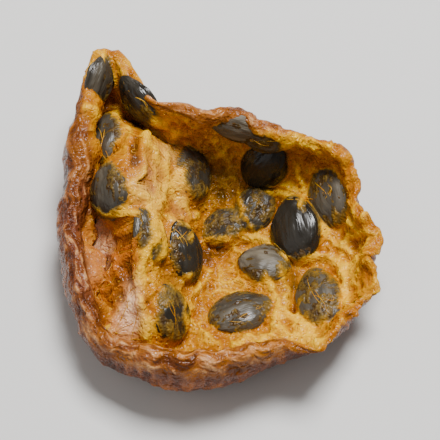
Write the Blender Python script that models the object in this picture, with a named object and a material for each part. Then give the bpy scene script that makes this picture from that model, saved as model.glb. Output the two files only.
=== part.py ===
"""Dried half of a passion fruit: a shrivelled, leathery cup of rind and pulp with its seeds.

Run it with: blender --background --python part.py
Metres, +Z up. The cup lies with its open side up, +Y points to its tall back wall and +X to
its torn edge. The sheet of fruit is laid out by angle round the floor's middle and by run,
which goes from 0 in the middle to 1 at the rim. The seeds are fused to the sheet.
"""

from collections import namedtuple
import math

import bmesh
import bpy
from mathutils import Matrix, Vector, noise
import numpy as np

MM = 0.001

# The middle of the sheet of fruit, in plan, from which the rim's reach is measured.
MIDDLE_X = -1.5 * MM
MIDDLE_Y = -3.5 * MM

# The rim at stations round the cup. angle is in degrees from +X. reach is how far the sheet
# goes out in plan and height how far it climbs, in mm. curl is the sheet's slope at the rim,
# over 90 where it turns inwards, and ramp its slope on the floor, in degrees. turn is the run
# at which the wall starts to rise, and lip the thickness of the rim in mm.
Station = namedtuple("Station", "angle reach height curl ramp turn lip")
RIM = (
    Station(1, 18.0, 6.3, 76, 7, 0.46, 1.2),
    Station(8, 16.0, 7.0, 100, 7, 0.50, 1.9),
    Station(16, 16.2, 6.8, 92, 7, 0.50, 1.5),
    Station(24, 16.9, 7.4, 86, 6, 0.50, 1.5),
    Station(31, 17.0, 8.2, 98, 6, 0.52, 2.0),
    Station(41, 15.3, 9.0, 106, 5, 0.55, 1.6),
    Station(52, 13.3, 10.0, 112, 3, 0.55, 1.5),
    Station(65, 12.8, 10.6, 116, 3, 0.55, 1.6),
    Station(90, 12.6, 11.0, 120, 2, 0.55, 1.6),
    Station(99, 12.8, 10.9, 106, 3, 0.60, 1.5),
    Station(104, 14.4, 10.3, 84, 5, 0.64, 1.4),
    Station(110, 17.8, 9.6, 74, 7, 0.66, 1.3),
    Station(116, 22.2, 9.5, 76, 8, 0.66, 1.3),
    Station(121, 22.9, 9.7, 82, 8, 0.62, 1.4),
    Station(126, 21.2, 9.4, 96, 7, 0.62, 1.6),
    Station(135, 19.0, 8.9, 120, 5, 0.60, 2.0),
    Station(150, 16.4, 8.4, 138, 3, 0.56, 2.2),
    Station(163, 14.9, 8.0, 128, 1, 0.56, 2.2),
    Station(190, 14.0, 7.5, 128, 1, 0.56, 2.2),
    Station(212, 14.9, 7.1, 128, 1, 0.58, 2.1),
    Station(232, 15.9, 6.9, 134, 3, 0.58, 2.2),
    Station(248, 15.6, 7.0, 136, 5, 0.60, 2.5),
    Station(272, 15.2, 7.4, 138, 7, 0.62, 2.6),
    Station(290, 14.5, 7.4, 125, 7, 0.66, 2.1),
    Station(304, 14.6, 7.2, 105, 7, 0.62, 1.6),
    Station(311, 17.8, 8.0, 72, 8, 0.56, 1.1),
    Station(320, 16.4, 6.9, 94, 8, 0.54, 1.8),
    Station(332, 17.0, 6.0, 88, 8, 0.52, 1.5),
    Station(343, 18.3, 5.6, 70, 8, 0.50, 1.1),
    Station(352, 15.9, 6.5, 96, 8, 0.48, 1.8),
)

# The stations are blended round the cup. The sheet is level in its middle, reaches its ramp at
# RAMP_START and bends up to its curl with BEND_POWER.
RIM_SAMPLES = 1440
RIM_BLUR_DEG = 1.9
RAMP_START = 0.22
BEND_POWER = 1.5
PROFILE_STEPS = 160

# The fold that parts the bowl from the side wing: points in plan and its height there, in mm.
FoldPoint = namedtuple("FoldPoint", "x y height")
FOLD = (
    FoldPoint(-8.3, 7.6, 8.7),
    FoldPoint(-8.9, 5.4, 8.6),
    FoldPoint(-9.3, 3.3, 8.3),
    FoldPoint(-8.4, -2.4, 7.5),
    FoldPoint(-8.4, -7.6, 6.6),
    FoldPoint(-8.2, -11.2, 5.6),
)

# The fold's crest is rounded and falls so many mm for each mm away from it. It blends into the
# sheet, fades out before the rim, except where it joins the back wall, and lifts the underside
# by a share only.
FOLD_STEPS = 60
FOLD_ROUND = 1.1 * MM
BOWL_SIDE_FALL = 1.5
WING_SIDE_FALL = 1.3
FOLD_BLEND = 3.2 * MM
FOLD_FADE = 0.56
FOLD_GONE = 0.86
UNDER_FOLD = 0.13
FOLD_JOINS_Y = 7.5 * MM
FOLD_JOINS_WITHIN = 5.0 * MM

# The notch between the side wing and the back wall: a place in plan that is pushed inwards.
PINCH_X = -5.6 * MM
PINCH_Y = 12.8 * MM
PINCH_MOVE_X = -1.3 * MM
PINCH_MOVE_Y = -2.2 * MM
PINCH_WIDTH = 3.2 * MM

# The deepest place in the bowl, under the back wall.
PIT_X = 0.5 * MM
PIT_Y = 1.8 * MM
PIT_DEPTH = 0.5 * MM
PIT_WIDTH = 5.0 * MM

# The sheet's own thickness and its unevenness: lumps, a wavering rim and shrinkage creases.
FLOOR_THICKNESS = 1.5 * MM
LIP_START = 0.74
LUMP_SIZE = 4.6 * MM
LUMP_DEPTH = 0.75 * MM
LUMP_WITHIN = 0.3
RIM_WAVER = 0.03
RIM_WAVES = 3.4
RIM_NICKS = 0.018
RIM_NICK_WAVES = 9.0
TOP_SIDE = 1.0
UNDER_SIDE = 4.0
CREASE_DEPTH = 0.26 * MM
CREASE_COUNT = 4.6
CREASE_SPREAD = 0.4
CREASE_RUNS = 3.6
CREASE_START = 0.16
CREASE_WITHIN = 0.35
RIM_CREASE_DEPTH = 0.30 * MM
RIM_CREASE_RUNS = 21.0
RIM_CREASE_START = 0.72
RIM_CREASE_WITHIN = 0.15

# The narrow corner between the fold, the back wall and the side wing, where the pulp is thin.
NOTCH_X = -6.6 * MM
NOTCH_Y = 9.6 * MM
NOTCH_WIDTH = 3.9 * MM
NOTCH_THINNING = 0.85

# How far the underside is pressed flat where it rests.
PRESS = 0.75 * MM

# The grid that the sheet is worked out on, how far its corners are eased, and the strides
# with which the solid's top and underside are read from it.
GRID_ANGLES = 312
GRID_RUNS = 144
EASE_PASSES = 20
NORMAL_PASSES = 60
SIDE_PASSES = 24
ANGLE_STRIDE = 3
TOP_STRIDE = 6
UNDER_STRIDE = 9
CORE_RUN = 0.07
CAP_RINGS = 3

# Each seed as an onlooker sees it from the front and above: across and up in the plane that
# faces that onlooker, its long axis turned anticlockwise there, its length and width, and how
# much of its thickness stands out of the pulp.
SIGHT_ELEVATION = 62.0
Seed = namedtuple("Seed", "across up turn length width proud")
SEEDS = (
    Seed(-2.6, 7.0, 78, 5.4, 3.5, 0.45),
    Seed(-3.7, -1.4, 95, 5.8, 3.7, 0.60),
    Seed(-5.0, -7.8, 105, 5.4, 3.6, 0.42),
    Seed(2.2, -7.8, 25, 6.2, 4.2, 0.55),
    Seed(4.5, -2.6, 160, 5.0, 4.1, 0.50),
    Seed(8.1, 0.8, 106, 6.4, 4.8, 0.75),
    Seed(11.6, 4.5, 115, 6.0, 4.6, 0.45),
    Seed(10.3, -6.1, 110, 6.4, 4.3, 0.50),
    Seed(3.9, 3.4, 70, 5.2, 3.7, 0.45),
    Seed(0.5, 1.4, 30, 5.0, 3.6, 0.35),
    Seed(4.6, 7.6, 60, 5.8, 4.2, 0.60),
    Seed(0.8, 11.7, 172, 5.4, 3.6, 0.45),
    Seed(4.0, 11.2, 165, 5.4, 3.6, 0.45),
    Seed(-8.7, 14.4, 128, 6.0, 4.2, 0.45),
    Seed(-12.9, 16.9, 63, 5.4, 3.9, 0.45),
    Seed(-12.3, 10.6, 105, 5.8, 3.8, 0.50),
    Seed(-11.5, 5.0, 100, 5.4, 4.3, 0.50),
    Seed(-7.0, 0.5, 105, 5.4, 3.5, 0.30),
)
SEED_THICKNESS = 0.52
SEED_POINT = 0.22

# A seed lies where the sheet faces the onlooker at least this much, on the nearer layer.
LEAST_FACING = 0.05
NEAR_SIDE_PULL = 0.02

RIND_COLOUR = (0.50, 0.20, 0.05, 1.0)
RIND_ROUGHNESS = 0.42


def smooth_step(value):
    value = np.clip(value, 0.0, 1.0)
    return value * value * (3.0 - 2.0 * value)


def smooth_larger(first, second, blend):
    """The larger of two heights, with the corner between them rounded over blend."""
    near = np.clip(0.5 + 0.5 * (first - second) / blend, 0.0, 1.0)
    return second + (first - second) * near + blend * near * (1.0 - near)


def noise_at(points):
    """Smooth noise from -1 to 1 at each row of points, whose spacing is one lump."""
    flat = np.asarray(points, float).reshape(-1, 3)
    values = np.fromiter((noise.noise(Vector(p)) for p in flat), float, len(flat))
    return values.reshape(np.shape(points)[:-1])


def rim_at(angles):
    """The rim's stations blended round the cup: one column for each angle in radians."""
    table = np.array(RIM)
    turns = np.arange(RIM_SAMPLES) * 360.0 / RIM_SAMPLES
    offsets = np.minimum(turns, 360.0 - turns)
    bell = np.exp(-0.5 * (offsets / RIM_BLUR_DEG) ** 2)
    bell = np.fft.rfft(bell / bell.sum())
    degrees = np.degrees(angles) % 360.0
    blended = {}
    for column, name in enumerate(Station._fields[1:], start=1):
        raw = np.interp(turns, table[:, 0], table[:, column], period=360.0)
        even = np.fft.irfft(np.fft.rfft(raw) * bell, RIM_SAMPLES)
        blended[name] = np.interp(degrees, turns, even, period=360.0)
    return blended


def profiles(angles, runs):
    """How far out and how high the sheet's middle is, one row for each run."""
    rim = rim_at(angles)
    steps = np.linspace(0.0, 1.0, PROFILE_STEPS)[:, None]
    bend = np.clip((steps - rim["turn"]) / (1.0 - rim["turn"]), 0.0, 1.0) ** BEND_POWER
    ramp = rim["ramp"] * smooth_step(steps / RAMP_START)
    slope = np.radians(ramp + (rim["curl"] - ramp) * bend)
    middles = 0.5 * (slope[1:] + slope[:-1])
    start = np.zeros((1, len(angles)))
    out = np.vstack([start, np.cumsum(np.cos(middles), axis=0)])
    rise = np.vstack([start, np.cumsum(np.sin(middles), axis=0)])
    waves = np.stack([np.cos(angles), np.sin(angles), np.zeros_like(angles)], axis=-1)
    waver = 1.0 + RIM_WAVER * noise_at(waves * RIM_WAVES)
    waver = waver + RIM_NICKS * noise_at(waves * RIM_NICK_WAVES)
    out *= rim["reach"] * MM * waver / out.max(axis=0)
    rise *= rim["height"] * MM / rise[-1]
    place = runs * (PROFILE_STEPS - 1)
    low = np.minimum(place.astype(int), PROFILE_STEPS - 2)
    part = (place - low)[:, None]
    return tuple(line[low] * (1 - part) + line[low + 1] * part for line in (out, rise))


def fold_line():
    """Points along the fold in metres: x, y and height."""
    points = np.array(FOLD) * MM
    stops = np.linspace(0, len(FOLD) - 1, FOLD_STEPS)
    return np.stack([np.interp(stops, range(len(FOLD)), line) for line in points.T], axis=-1)


def with_fold(x, y, height):
    """The height with the fold's rounded tent raised over it."""
    line = fold_line()
    away = np.hypot(x[..., None] - line[:, 0], y[..., None] - line[:, 1])
    nearest = away.argmin(axis=-1)
    spot = line[nearest]
    fall = np.where(x > spot[..., 0], BOWL_SIDE_FALL, WING_SIDE_FALL)
    distance = away.min(axis=-1)
    tent = spot[..., 2] - fall * (np.hypot(distance, FOLD_ROUND) - FOLD_ROUND)
    return smooth_larger(height, tent, FOLD_BLEND)


def eased(grid, passes):
    """The grid with each point drawn towards its neighbours, its first and last runs kept."""
    for _ in range(passes):
        beside = 0.5 * (np.roll(grid, 1, axis=1) + np.roll(grid, -1, axis=1))
        along = 0.5 * (grid[:-2] + grid[2:])
        grid = grid.copy()
        grid[1:-1] = 0.5 * grid[1:-1] + 0.25 * (beside[1:-1] + along)
    return grid


def grid_angles():
    return np.arange(GRID_ANGLES) * 2.0 * math.pi / GRID_ANGLES


def grid_runs():
    return np.arange(1, GRID_RUNS + 1) / GRID_RUNS


def middle_sheet(fold_share):
    """The sheet's middle surface, with a share of the fold: a grid of runs by angles by 3."""
    angles, runs = grid_angles(), grid_runs()
    out, rise = profiles(angles, runs)
    x = MIDDLE_X + out * np.cos(angles)
    y = MIDDLE_Y + out * np.sin(angles)
    pit = np.exp(-((x - PIT_X) ** 2 + (y - PIT_Y) ** 2) / PIT_WIDTH**2)
    fade = smooth_step((runs[:, None] - FOLD_FADE) / (FOLD_GONE - FOLD_FADE))
    fade = fade * smooth_step((FOLD_JOINS_Y - y) / FOLD_JOINS_WITHIN)
    folded = with_fold(x, y, rise)
    z = rise + (folded - rise) * (1.0 - fade) * fold_share - PIT_DEPTH * pit
    near = np.exp(-((x - PINCH_X) ** 2 + (y - PINCH_Y) ** 2) / PINCH_WIDTH**2)
    points = np.stack([x + PINCH_MOVE_X * near, y + PINCH_MOVE_Y * near, z], axis=-1)
    lumps = noise_at(points / LUMP_SIZE)
    points[..., 2] += LUMP_DEPTH * lumps * smooth_step(runs[:, None] / LUMP_WITHIN)
    return eased(points, EASE_PASSES)


def normals_of(points):
    """Unit normals of a runs by angles grid, pointing to the open side of the cup."""
    along = np.gradient(points, axis=0)
    beside = np.roll(points, -1, axis=1) - np.roll(points, 1, axis=1)
    normals = np.cross(along, beside)
    return normals / np.linalg.norm(normals, axis=-1, keepdims=True)


def creases(side):
    """Depth of the shrinkage wrinkles, which run out to the rim and then along it."""
    angles, runs = grid_angles(), grid_runs()[:, None]
    turn = np.stack([np.cos(angles), np.sin(angles)], axis=-1) * CREASE_COUNT
    grid = np.empty((GRID_RUNS, GRID_ANGLES, 3))
    grid[..., :2] = turn * (CREASE_SPREAD + runs[..., None])
    grid[..., 2] = side + runs * CREASE_RUNS
    outward = (1.0 - 2.0 * np.abs(noise_at(grid))) * CREASE_DEPTH
    grid[..., 2] = side + runs * RIM_CREASE_RUNS
    along_rim = noise_at(grid) * RIM_CREASE_DEPTH
    rimward = smooth_step((runs - RIM_CREASE_START) / RIM_CREASE_WITHIN)
    middle = smooth_step((runs - CREASE_START) / CREASE_WITHIN)
    return (outward * (1.0 - rimward) + along_rim * rimward) * middle


def offset_sheet(middle, away):
    """The middle surface moved along its eased normals, and eased again."""
    normals = eased(normals_of(middle), NORMAL_PASSES)
    normals /= np.linalg.norm(normals, axis=-1, keepdims=True)
    return eased(middle + normals * away[..., None], SIDE_PASSES)


def sheet_faces():
    """The sheet's upper and lower points, as grids of runs by angles by 3.

    The pulp fills the fold from within, so the underside follows only a share of it.
    """
    lip = rim_at(grid_angles())["lip"] * MM
    edge = smooth_step((grid_runs()[:, None] - LIP_START) / (1.0 - LIP_START))
    half = 0.5 * (FLOOR_THICKNESS + (lip - FLOOR_THICKNESS) * edge)
    middle = middle_sheet(1.0)
    from_notch = np.hypot(middle[..., 0] - NOTCH_X, middle[..., 1] - NOTCH_Y) / NOTCH_WIDTH
    above = (half + creases(TOP_SIDE)) * (1.0 - NOTCH_THINNING * np.exp(-(from_notch**2)))
    below = half + creases(UNDER_SIDE)
    return offset_sheet(middle, above), offset_sheet(middle_sheet(UNDER_FOLD), -below)


def rim_cap(top, under):
    """Rings that round the rim off from the top's last run to the underside's."""
    centre = 0.5 * (top[-1] + under[-1])
    radius = top[-1] - centre
    outward = centre - 0.5 * (top[-2] + under[-2])
    share = (outward * radius).sum(-1, keepdims=True) / (radius**2).sum(-1, keepdims=True)
    outward -= radius * share
    reach = np.linalg.norm(radius, axis=-1, keepdims=True)
    outward *= reach / np.linalg.norm(outward, axis=-1, keepdims=True)
    turns = np.arange(1, CAP_RINGS + 1) * math.pi / (CAP_RINGS + 1)
    return np.array([centre + radius * math.cos(t) + outward * math.sin(t) for t in turns])


def every(grid, stride):
    """Every stride-th run from the rim back to CORE_RUN, with the sheet's angle stride."""
    outer = grid[int(CORE_RUN * GRID_RUNS) :]
    return outer[::-1][::stride][::-1, ::ANGLE_STRIDE]


def sheet_rows(top, under):
    """Rows of points from the middle of the top, over the rim and back under the sheet."""
    cap = rim_cap(top, under)[:, ::ANGLE_STRIDE]
    return np.concatenate([every(top, TOP_STRIDE), cap, every(under, UNDER_STRIDE)[::-1]])


def closed_mesh(name, rows):
    """A closed mesh from rows of points, each row a ring, with a pole at either end."""
    count = rows.shape[1]
    poles = [rows[0].mean(axis=0), rows[-1].mean(axis=0)]
    points = np.concatenate([rows.reshape(-1, 3), poles])
    first_pole, last_pole = len(points) - 2, len(points) - 1
    last_row = (len(rows) - 1) * count
    faces = []
    for i in range(count):
        j = (i + 1) % count
        faces.append((first_pole, i, j))
        faces.append((last_pole, last_row + j, last_row + i))
        for row in range(0, last_row, count):
            faces.append((row + i, row + count + i, row + count + j, row + j))
    mesh = bpy.data.meshes.new(name)
    mesh.from_pydata([tuple(p) for p in points], [], faces)
    mesh.update()
    return mesh


def seen_up(points):
    """How far up each point is seen by the onlooker in front and above."""
    tilt = math.radians(SIGHT_ELEVATION)
    return points[..., 1] * math.sin(tilt) + points[..., 2] * math.cos(tilt)


def seed_places(top):
    """For each seed, the matrix that lays it on the sheet's top where it is seen."""
    normals = normals_of(top)
    tilt = math.radians(SIGHT_ELEVATION)
    towards = np.array([0.0, -math.cos(tilt), math.sin(tilt)])
    upward = np.array([0.0, math.sin(tilt), math.cos(tilt)])
    up = seen_up(top)
    facing = normals @ towards
    nearness = top @ towards
    places = []
    for seed in SEEDS:
        miss = np.hypot(top[..., 0] - seed.across * MM, up - seed.up * MM)
        miss = miss + np.where(facing > LEAST_FACING, 0.0, 1.0) - NEAR_SIDE_PULL * nearness
        spot = np.unravel_index(miss.argmin(), miss.shape)
        normal = Vector(normals[spot])
        turn = math.radians(seed.turn)
        seen = np.array([math.cos(turn), 0.0, 0.0]) + upward * math.sin(turn)
        long_axis = Vector(seen) - normal * normal.dot(Vector(seen))
        long_axis.normalize()
        side = normal.cross(long_axis)
        middle = Vector(top[spot]) + normal * (seed.proud - 0.5) * seed.width * SEED_THICKNESS * MM
        places.append(
            Matrix(
                (
                    (long_axis.x, side.x, normal.x, middle.x),
                    (long_axis.y, side.y, normal.y, middle.y),
                    (long_axis.z, side.z, normal.z, middle.z),
                    (0.0, 0.0, 0.0, 1.0),
                )
            )
        )
    return places


def add_seed(name, seed, place, collection):
    """A flat oval seed with one end drawn to a blunt point."""
    shape = bmesh.new()
    bmesh.ops.create_icosphere(shape, subdivisions=2, radius=1.0)
    for vertex in shape.verts:
        taper = 1.0 - SEED_POINT * smooth_step(vertex.co.x)
        vertex.co.x *= 0.5 * seed.length * MM
        vertex.co.y *= 0.5 * seed.width * MM * taper
        vertex.co.z *= 0.5 * seed.width * SEED_THICKNESS * MM * taper
    shape.transform(place)
    mesh = bpy.data.meshes.new(name)
    shape.to_mesh(mesh)
    shape.free()
    seed_object = bpy.data.objects.new(name, mesh)
    collection.objects.link(seed_object)


def fuse(body, collection):
    """Joins the collection's objects to the body with one Boolean, and removes them."""
    union = body.modifiers.new("fuse_seeds", "BOOLEAN")
    union.operation = "UNION"
    union.operand_type = "COLLECTION"
    union.collection = collection
    union.solver = "EXACT"
    graph = bpy.context.evaluated_depsgraph_get()
    fused = bpy.data.meshes.new_from_object(body.evaluated_get(graph))
    body.modifiers.remove(union)
    body.data = fused
    for loose in list(collection.objects):
        bpy.data.objects.remove(loose)
    bpy.data.collections.remove(collection)


def rind_material():
    material = bpy.data.materials.new("dried_fruit")
    material.use_nodes = True
    shader = material.node_tree.nodes["Principled BSDF"]
    shader.inputs["Base Color"].default_value = RIND_COLOUR
    shader.inputs["Roughness"].default_value = RIND_ROUGHNESS
    shader.inputs["Metallic"].default_value = 0.0
    return material


def settle(mesh):
    """Sets the mesh on the ground, pressed flat where it rests, and centred in plan."""
    points = np.array([vertex.co for vertex in mesh.vertices])
    points[:, 2] = np.maximum(points[:, 2] - points[:, 2].min() - PRESS, 0.0)
    points[:, :2] -= 0.5 * (points[:, :2].max(axis=0) + points[:, :2].min(axis=0))
    mesh.vertices.foreach_set("co", points.ravel())
    mesh.update()


def build():
    for old in list(bpy.data.objects):
        bpy.data.objects.remove(old)
    top, under = sheet_faces()
    rows = sheet_rows(top, under)
    body = bpy.data.objects.new("dried_half", closed_mesh("dried_half", rows))
    bpy.context.scene.collection.objects.link(body)
    seeds = bpy.data.collections.new("seeds")
    bpy.context.scene.collection.children.link(seeds)
    for number, (seed, place) in enumerate(zip(SEEDS, seed_places(top))):
        add_seed(f"seed_{number:02d}", seed, place, seeds)
    fuse(body, seeds)
    settle(body.data)
    body.data.shade_smooth()
    body.data.materials.clear()
    body.data.materials.append(rind_material())


build()
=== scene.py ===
"""Dried half of a passion fruit, dressed for a close look.

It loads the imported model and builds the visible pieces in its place: the sheet of rind and pulp
with its films over the seeds, the seeds, dried strands and crumbs of pulp, and then a pale floor,
soft lights and a camera. Metres, +Z up. The sheet is laid out as in the solid: by angle round the
floor's middle and by run, which goes from 0 in the middle to 1 at the rim.
"""

from collections import namedtuple
import functools
import math

import bpy
from bpy.props import FloatProperty, FloatVectorProperty, IntProperty, PointerProperty
from mathutils import Matrix, Vector, noise
import numpy as np


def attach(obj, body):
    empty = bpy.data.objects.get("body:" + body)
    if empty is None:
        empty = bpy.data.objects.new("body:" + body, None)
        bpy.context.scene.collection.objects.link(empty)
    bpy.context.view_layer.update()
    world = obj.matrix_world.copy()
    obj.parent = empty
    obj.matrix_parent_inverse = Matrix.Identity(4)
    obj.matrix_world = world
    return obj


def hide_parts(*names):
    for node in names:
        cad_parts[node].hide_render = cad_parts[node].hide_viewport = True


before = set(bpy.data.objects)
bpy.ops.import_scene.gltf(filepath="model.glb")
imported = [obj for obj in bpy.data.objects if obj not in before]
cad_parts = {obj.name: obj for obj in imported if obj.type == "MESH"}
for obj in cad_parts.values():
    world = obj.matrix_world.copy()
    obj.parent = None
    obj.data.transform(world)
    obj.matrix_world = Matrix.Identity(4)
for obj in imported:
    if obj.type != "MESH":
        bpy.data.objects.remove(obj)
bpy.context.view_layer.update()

bl_info = {
    "name": "Dried passion fruit half",
    "version": (1, 0, 0),
    "blender": (4, 5, 0),
    "location": "View3D > Sidebar > Dried fruit",
    "description": "Builds a dried passion fruit half with its seeds, films, strands and crumbs",
    "category": "Object",
}

MM = 0.001

# The form of the sheet of fruit, with the same values as the solid.
MIDDLE_X = -1.5 * MM
MIDDLE_Y = -3.5 * MM
Station = namedtuple("Station", "angle reach height curl ramp turn lip")
RIM = (
    Station(1, 18.0, 6.3, 76, 7, 0.46, 1.2),
    Station(8, 16.0, 7.0, 100, 7, 0.50, 1.9),
    Station(16, 16.2, 6.8, 92, 7, 0.50, 1.5),
    Station(24, 16.9, 7.4, 86, 6, 0.50, 1.5),
    Station(31, 17.0, 8.2, 98, 6, 0.52, 2.0),
    Station(41, 15.3, 9.0, 106, 5, 0.55, 1.6),
    Station(52, 13.3, 10.0, 112, 3, 0.55, 1.5),
    Station(65, 12.8, 10.6, 116, 3, 0.55, 1.6),
    Station(90, 12.6, 11.0, 120, 2, 0.55, 1.6),
    Station(99, 12.8, 10.9, 106, 3, 0.60, 1.5),
    Station(104, 14.4, 10.3, 84, 5, 0.64, 1.4),
    Station(110, 17.8, 9.6, 74, 7, 0.66, 1.3),
    Station(116, 22.2, 9.5, 76, 8, 0.66, 1.3),
    Station(121, 22.9, 9.7, 82, 8, 0.62, 1.4),
    Station(126, 21.2, 9.4, 96, 7, 0.62, 1.6),
    Station(135, 19.0, 8.9, 120, 5, 0.60, 2.0),
    Station(150, 16.4, 8.4, 138, 3, 0.56, 2.2),
    Station(163, 14.9, 8.0, 128, 1, 0.56, 2.2),
    Station(190, 14.0, 7.5, 128, 1, 0.56, 2.2),
    Station(212, 14.9, 7.1, 128, 1, 0.58, 2.1),
    Station(232, 15.9, 6.9, 134, 3, 0.58, 2.2),
    Station(248, 15.6, 7.0, 136, 5, 0.60, 2.5),
    Station(272, 15.2, 7.4, 138, 7, 0.62, 2.6),
    Station(290, 14.5, 7.4, 125, 7, 0.66, 2.1),
    Station(304, 14.6, 7.2, 105, 7, 0.62, 1.6),
    Station(311, 17.8, 8.0, 72, 8, 0.56, 1.1),
    Station(320, 16.4, 6.9, 94, 8, 0.54, 1.8),
    Station(332, 17.0, 6.0, 88, 8, 0.52, 1.5),
    Station(343, 18.3, 5.6, 70, 8, 0.50, 1.1),
    Station(352, 15.9, 6.5, 96, 8, 0.48, 1.8),
)
RIM_SAMPLES = 1440
RIM_BLUR_DEG = 1.9
RAMP_START = 0.22
BEND_POWER = 1.5
PROFILE_STEPS = 160

FoldPoint = namedtuple("FoldPoint", "x y height")
FOLD = (
    FoldPoint(-8.3, 7.6, 8.7),
    FoldPoint(-8.9, 5.4, 8.6),
    FoldPoint(-9.3, 3.3, 8.3),
    FoldPoint(-8.4, -2.4, 7.5),
    FoldPoint(-8.4, -7.6, 6.6),
    FoldPoint(-8.2, -11.2, 5.6),
)
FOLD_STEPS = 60
FOLD_ROUND = 1.1 * MM
BOWL_SIDE_FALL = 1.5
WING_SIDE_FALL = 1.3
FOLD_BLEND = 3.2 * MM
FOLD_FADE = 0.56
FOLD_GONE = 0.86
UNDER_FOLD = 0.13
FOLD_JOINS_Y = 7.5 * MM
FOLD_JOINS_WITHIN = 5.0 * MM

PINCH_X = -5.6 * MM
PINCH_Y = 12.8 * MM
PINCH_MOVE_X = -1.3 * MM
PINCH_MOVE_Y = -2.2 * MM
PINCH_WIDTH = 3.2 * MM
PIT_X = 0.5 * MM
PIT_Y = 1.8 * MM
PIT_DEPTH = 0.5 * MM
PIT_WIDTH = 5.0 * MM

FLOOR_THICKNESS = 1.5 * MM
LIP_START = 0.74
LUMP_SIZE = 4.6 * MM
LUMP_DEPTH = 0.75 * MM
LUMP_WITHIN = 0.3
RIM_WAVER = 0.03
RIM_WAVES = 3.4
RIM_NICKS = 0.018
RIM_NICK_WAVES = 9.0
TOP_SIDE = 1.0
UNDER_SIDE = 4.0
CREASE_DEPTH = 0.26 * MM
CREASE_COUNT = 4.6
CREASE_SPREAD = 0.4
CREASE_RUNS = 3.6
CREASE_START = 0.16
CREASE_WITHIN = 0.35
RIM_CREASE_DEPTH = 0.30 * MM
RIM_CREASE_RUNS = 21.0
RIM_CREASE_START = 0.72
RIM_CREASE_WITHIN = 0.15
NOTCH_X = -6.6 * MM
NOTCH_Y = 9.6 * MM
NOTCH_WIDTH = 3.9 * MM
NOTCH_THINNING = 0.85
PRESS = 0.75 * MM

GRID_ANGLES = 312
GRID_RUNS = 144
EASE_PASSES = 20
NORMAL_PASSES = 60
SIDE_PASSES = 24
ANGLE_STRIDE = 3
TOP_STRIDE = 6
UNDER_STRIDE = 9
CORE_RUN = 0.07

# The onlooker stands in front of the fruit and looks down on it. Seeds, patches, ridges and strands
# are placed as they are seen from there: across and up, in mm.
SIGHT_ELEVATION = 62.0
SIGHT_TILT = math.radians(SIGHT_ELEVATION)
TOWARDS = np.array([0.0, -math.cos(SIGHT_TILT), math.sin(SIGHT_TILT)])
UPWARD = np.array([0.0, math.sin(SIGHT_TILT), math.cos(SIGHT_TILT)])

# The seeds. The first six values are close to the solid's. lift is how much higher the seed itself
# lies, in mm, cover how much of it the pulp's dried film hides and grey how pale and dull its own
# surface is.
Seed = namedtuple("Seed", "across up turn length width proud lift cover grey")
SEEDS = (
    Seed(-2.9, 6.9, 78, 5.6, 4.2, 0.45, 0.10, 0.36, 0.40),
    Seed(-4, -1.6, 97, 5.8, 4.1, 0.60, 0.05, 0.22, 0.10),
    Seed(-5, -7.8, 103, 5.4, 4.3, 0.42, 0.00, 0.42, 0.10),
    Seed(2.3, -8, 25, 6.2, 4.6, 0.55, 0.00, 0.32, 0.55),
    Seed(4.7, -2.9, 160, 5, 4.3, 0.50, 0.00, 0.16, 0.95),
    Seed(8.4, 0.7, 106, 6.4, 4.8, 0.75, 0.00, 0.02, 0.06),
    Seed(11.8, 4.4, 115, 6.3, 5, 0.45, 0.05, 0.38, 0.55),
    Seed(10.4, -6.4, 108, 6.8, 4.5, 0.50, 0.05, 0.42, 0.60),
    Seed(3.9, 3.2, 70, 5.2, 3.9, 0.45, 0.00, 0.42, 0.30),
    Seed(0.5, 1.1, 30, 5, 3.8, 0.35, -0.05, 0.50, 0.35),
    Seed(4.8, 7.7, 60, 5.8, 4.3, 0.60, -0.05, 0.02, 0.02),
    Seed(1.7, 11.4, 172, 5.4, 3.4, 0.45, -0.05, 0.26, 1.00),
    Seed(4.3, 10.2, 160, 4.3, 3.1, 0.50, -0.15, 0.34, 0.60),
    Seed(-8.7, 14.4, 128, 5.8, 4, 0.45, 0.00, 0.30, 0.15),
    Seed(-12.9, 16.9, 63, 5, 3.5, 0.45, 0.00, 0.26, 0.40),
    Seed(-12.3, 10.3, 103, 5.8, 4.4, 0.50, 0.15, 0.30, 0.55),
    Seed(-11.5, 4.7, 98, 5.4, 4.5, 0.50, 0.10, 0.30, 0.55),
    Seed(-7, 0.2, 105, 5.4, 3.5, 0.30, -0.05, 0.40, 0.55),
)
SEED_THICKNESS = 0.52
SEED_POINT = 0.22
SEED_GROWTH = 1.16
SEED_BACK = 0.36
LEAST_FACING = 0.05
NEAR_SIDE_PULL = 0.02
SEED_LEAN = 1.0
LEAN_UNDER = 0.75

# The fine grid that the visible sheet is drawn on: angles round the cup, and rows down the pulp,
# over the rim and back under the skin.
FINE_ANGLES = 416
FIRST_ROW = 3
TOP_ROWS = 176
CAP_RINGS = 7
UNDER_ROWS = 52

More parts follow.
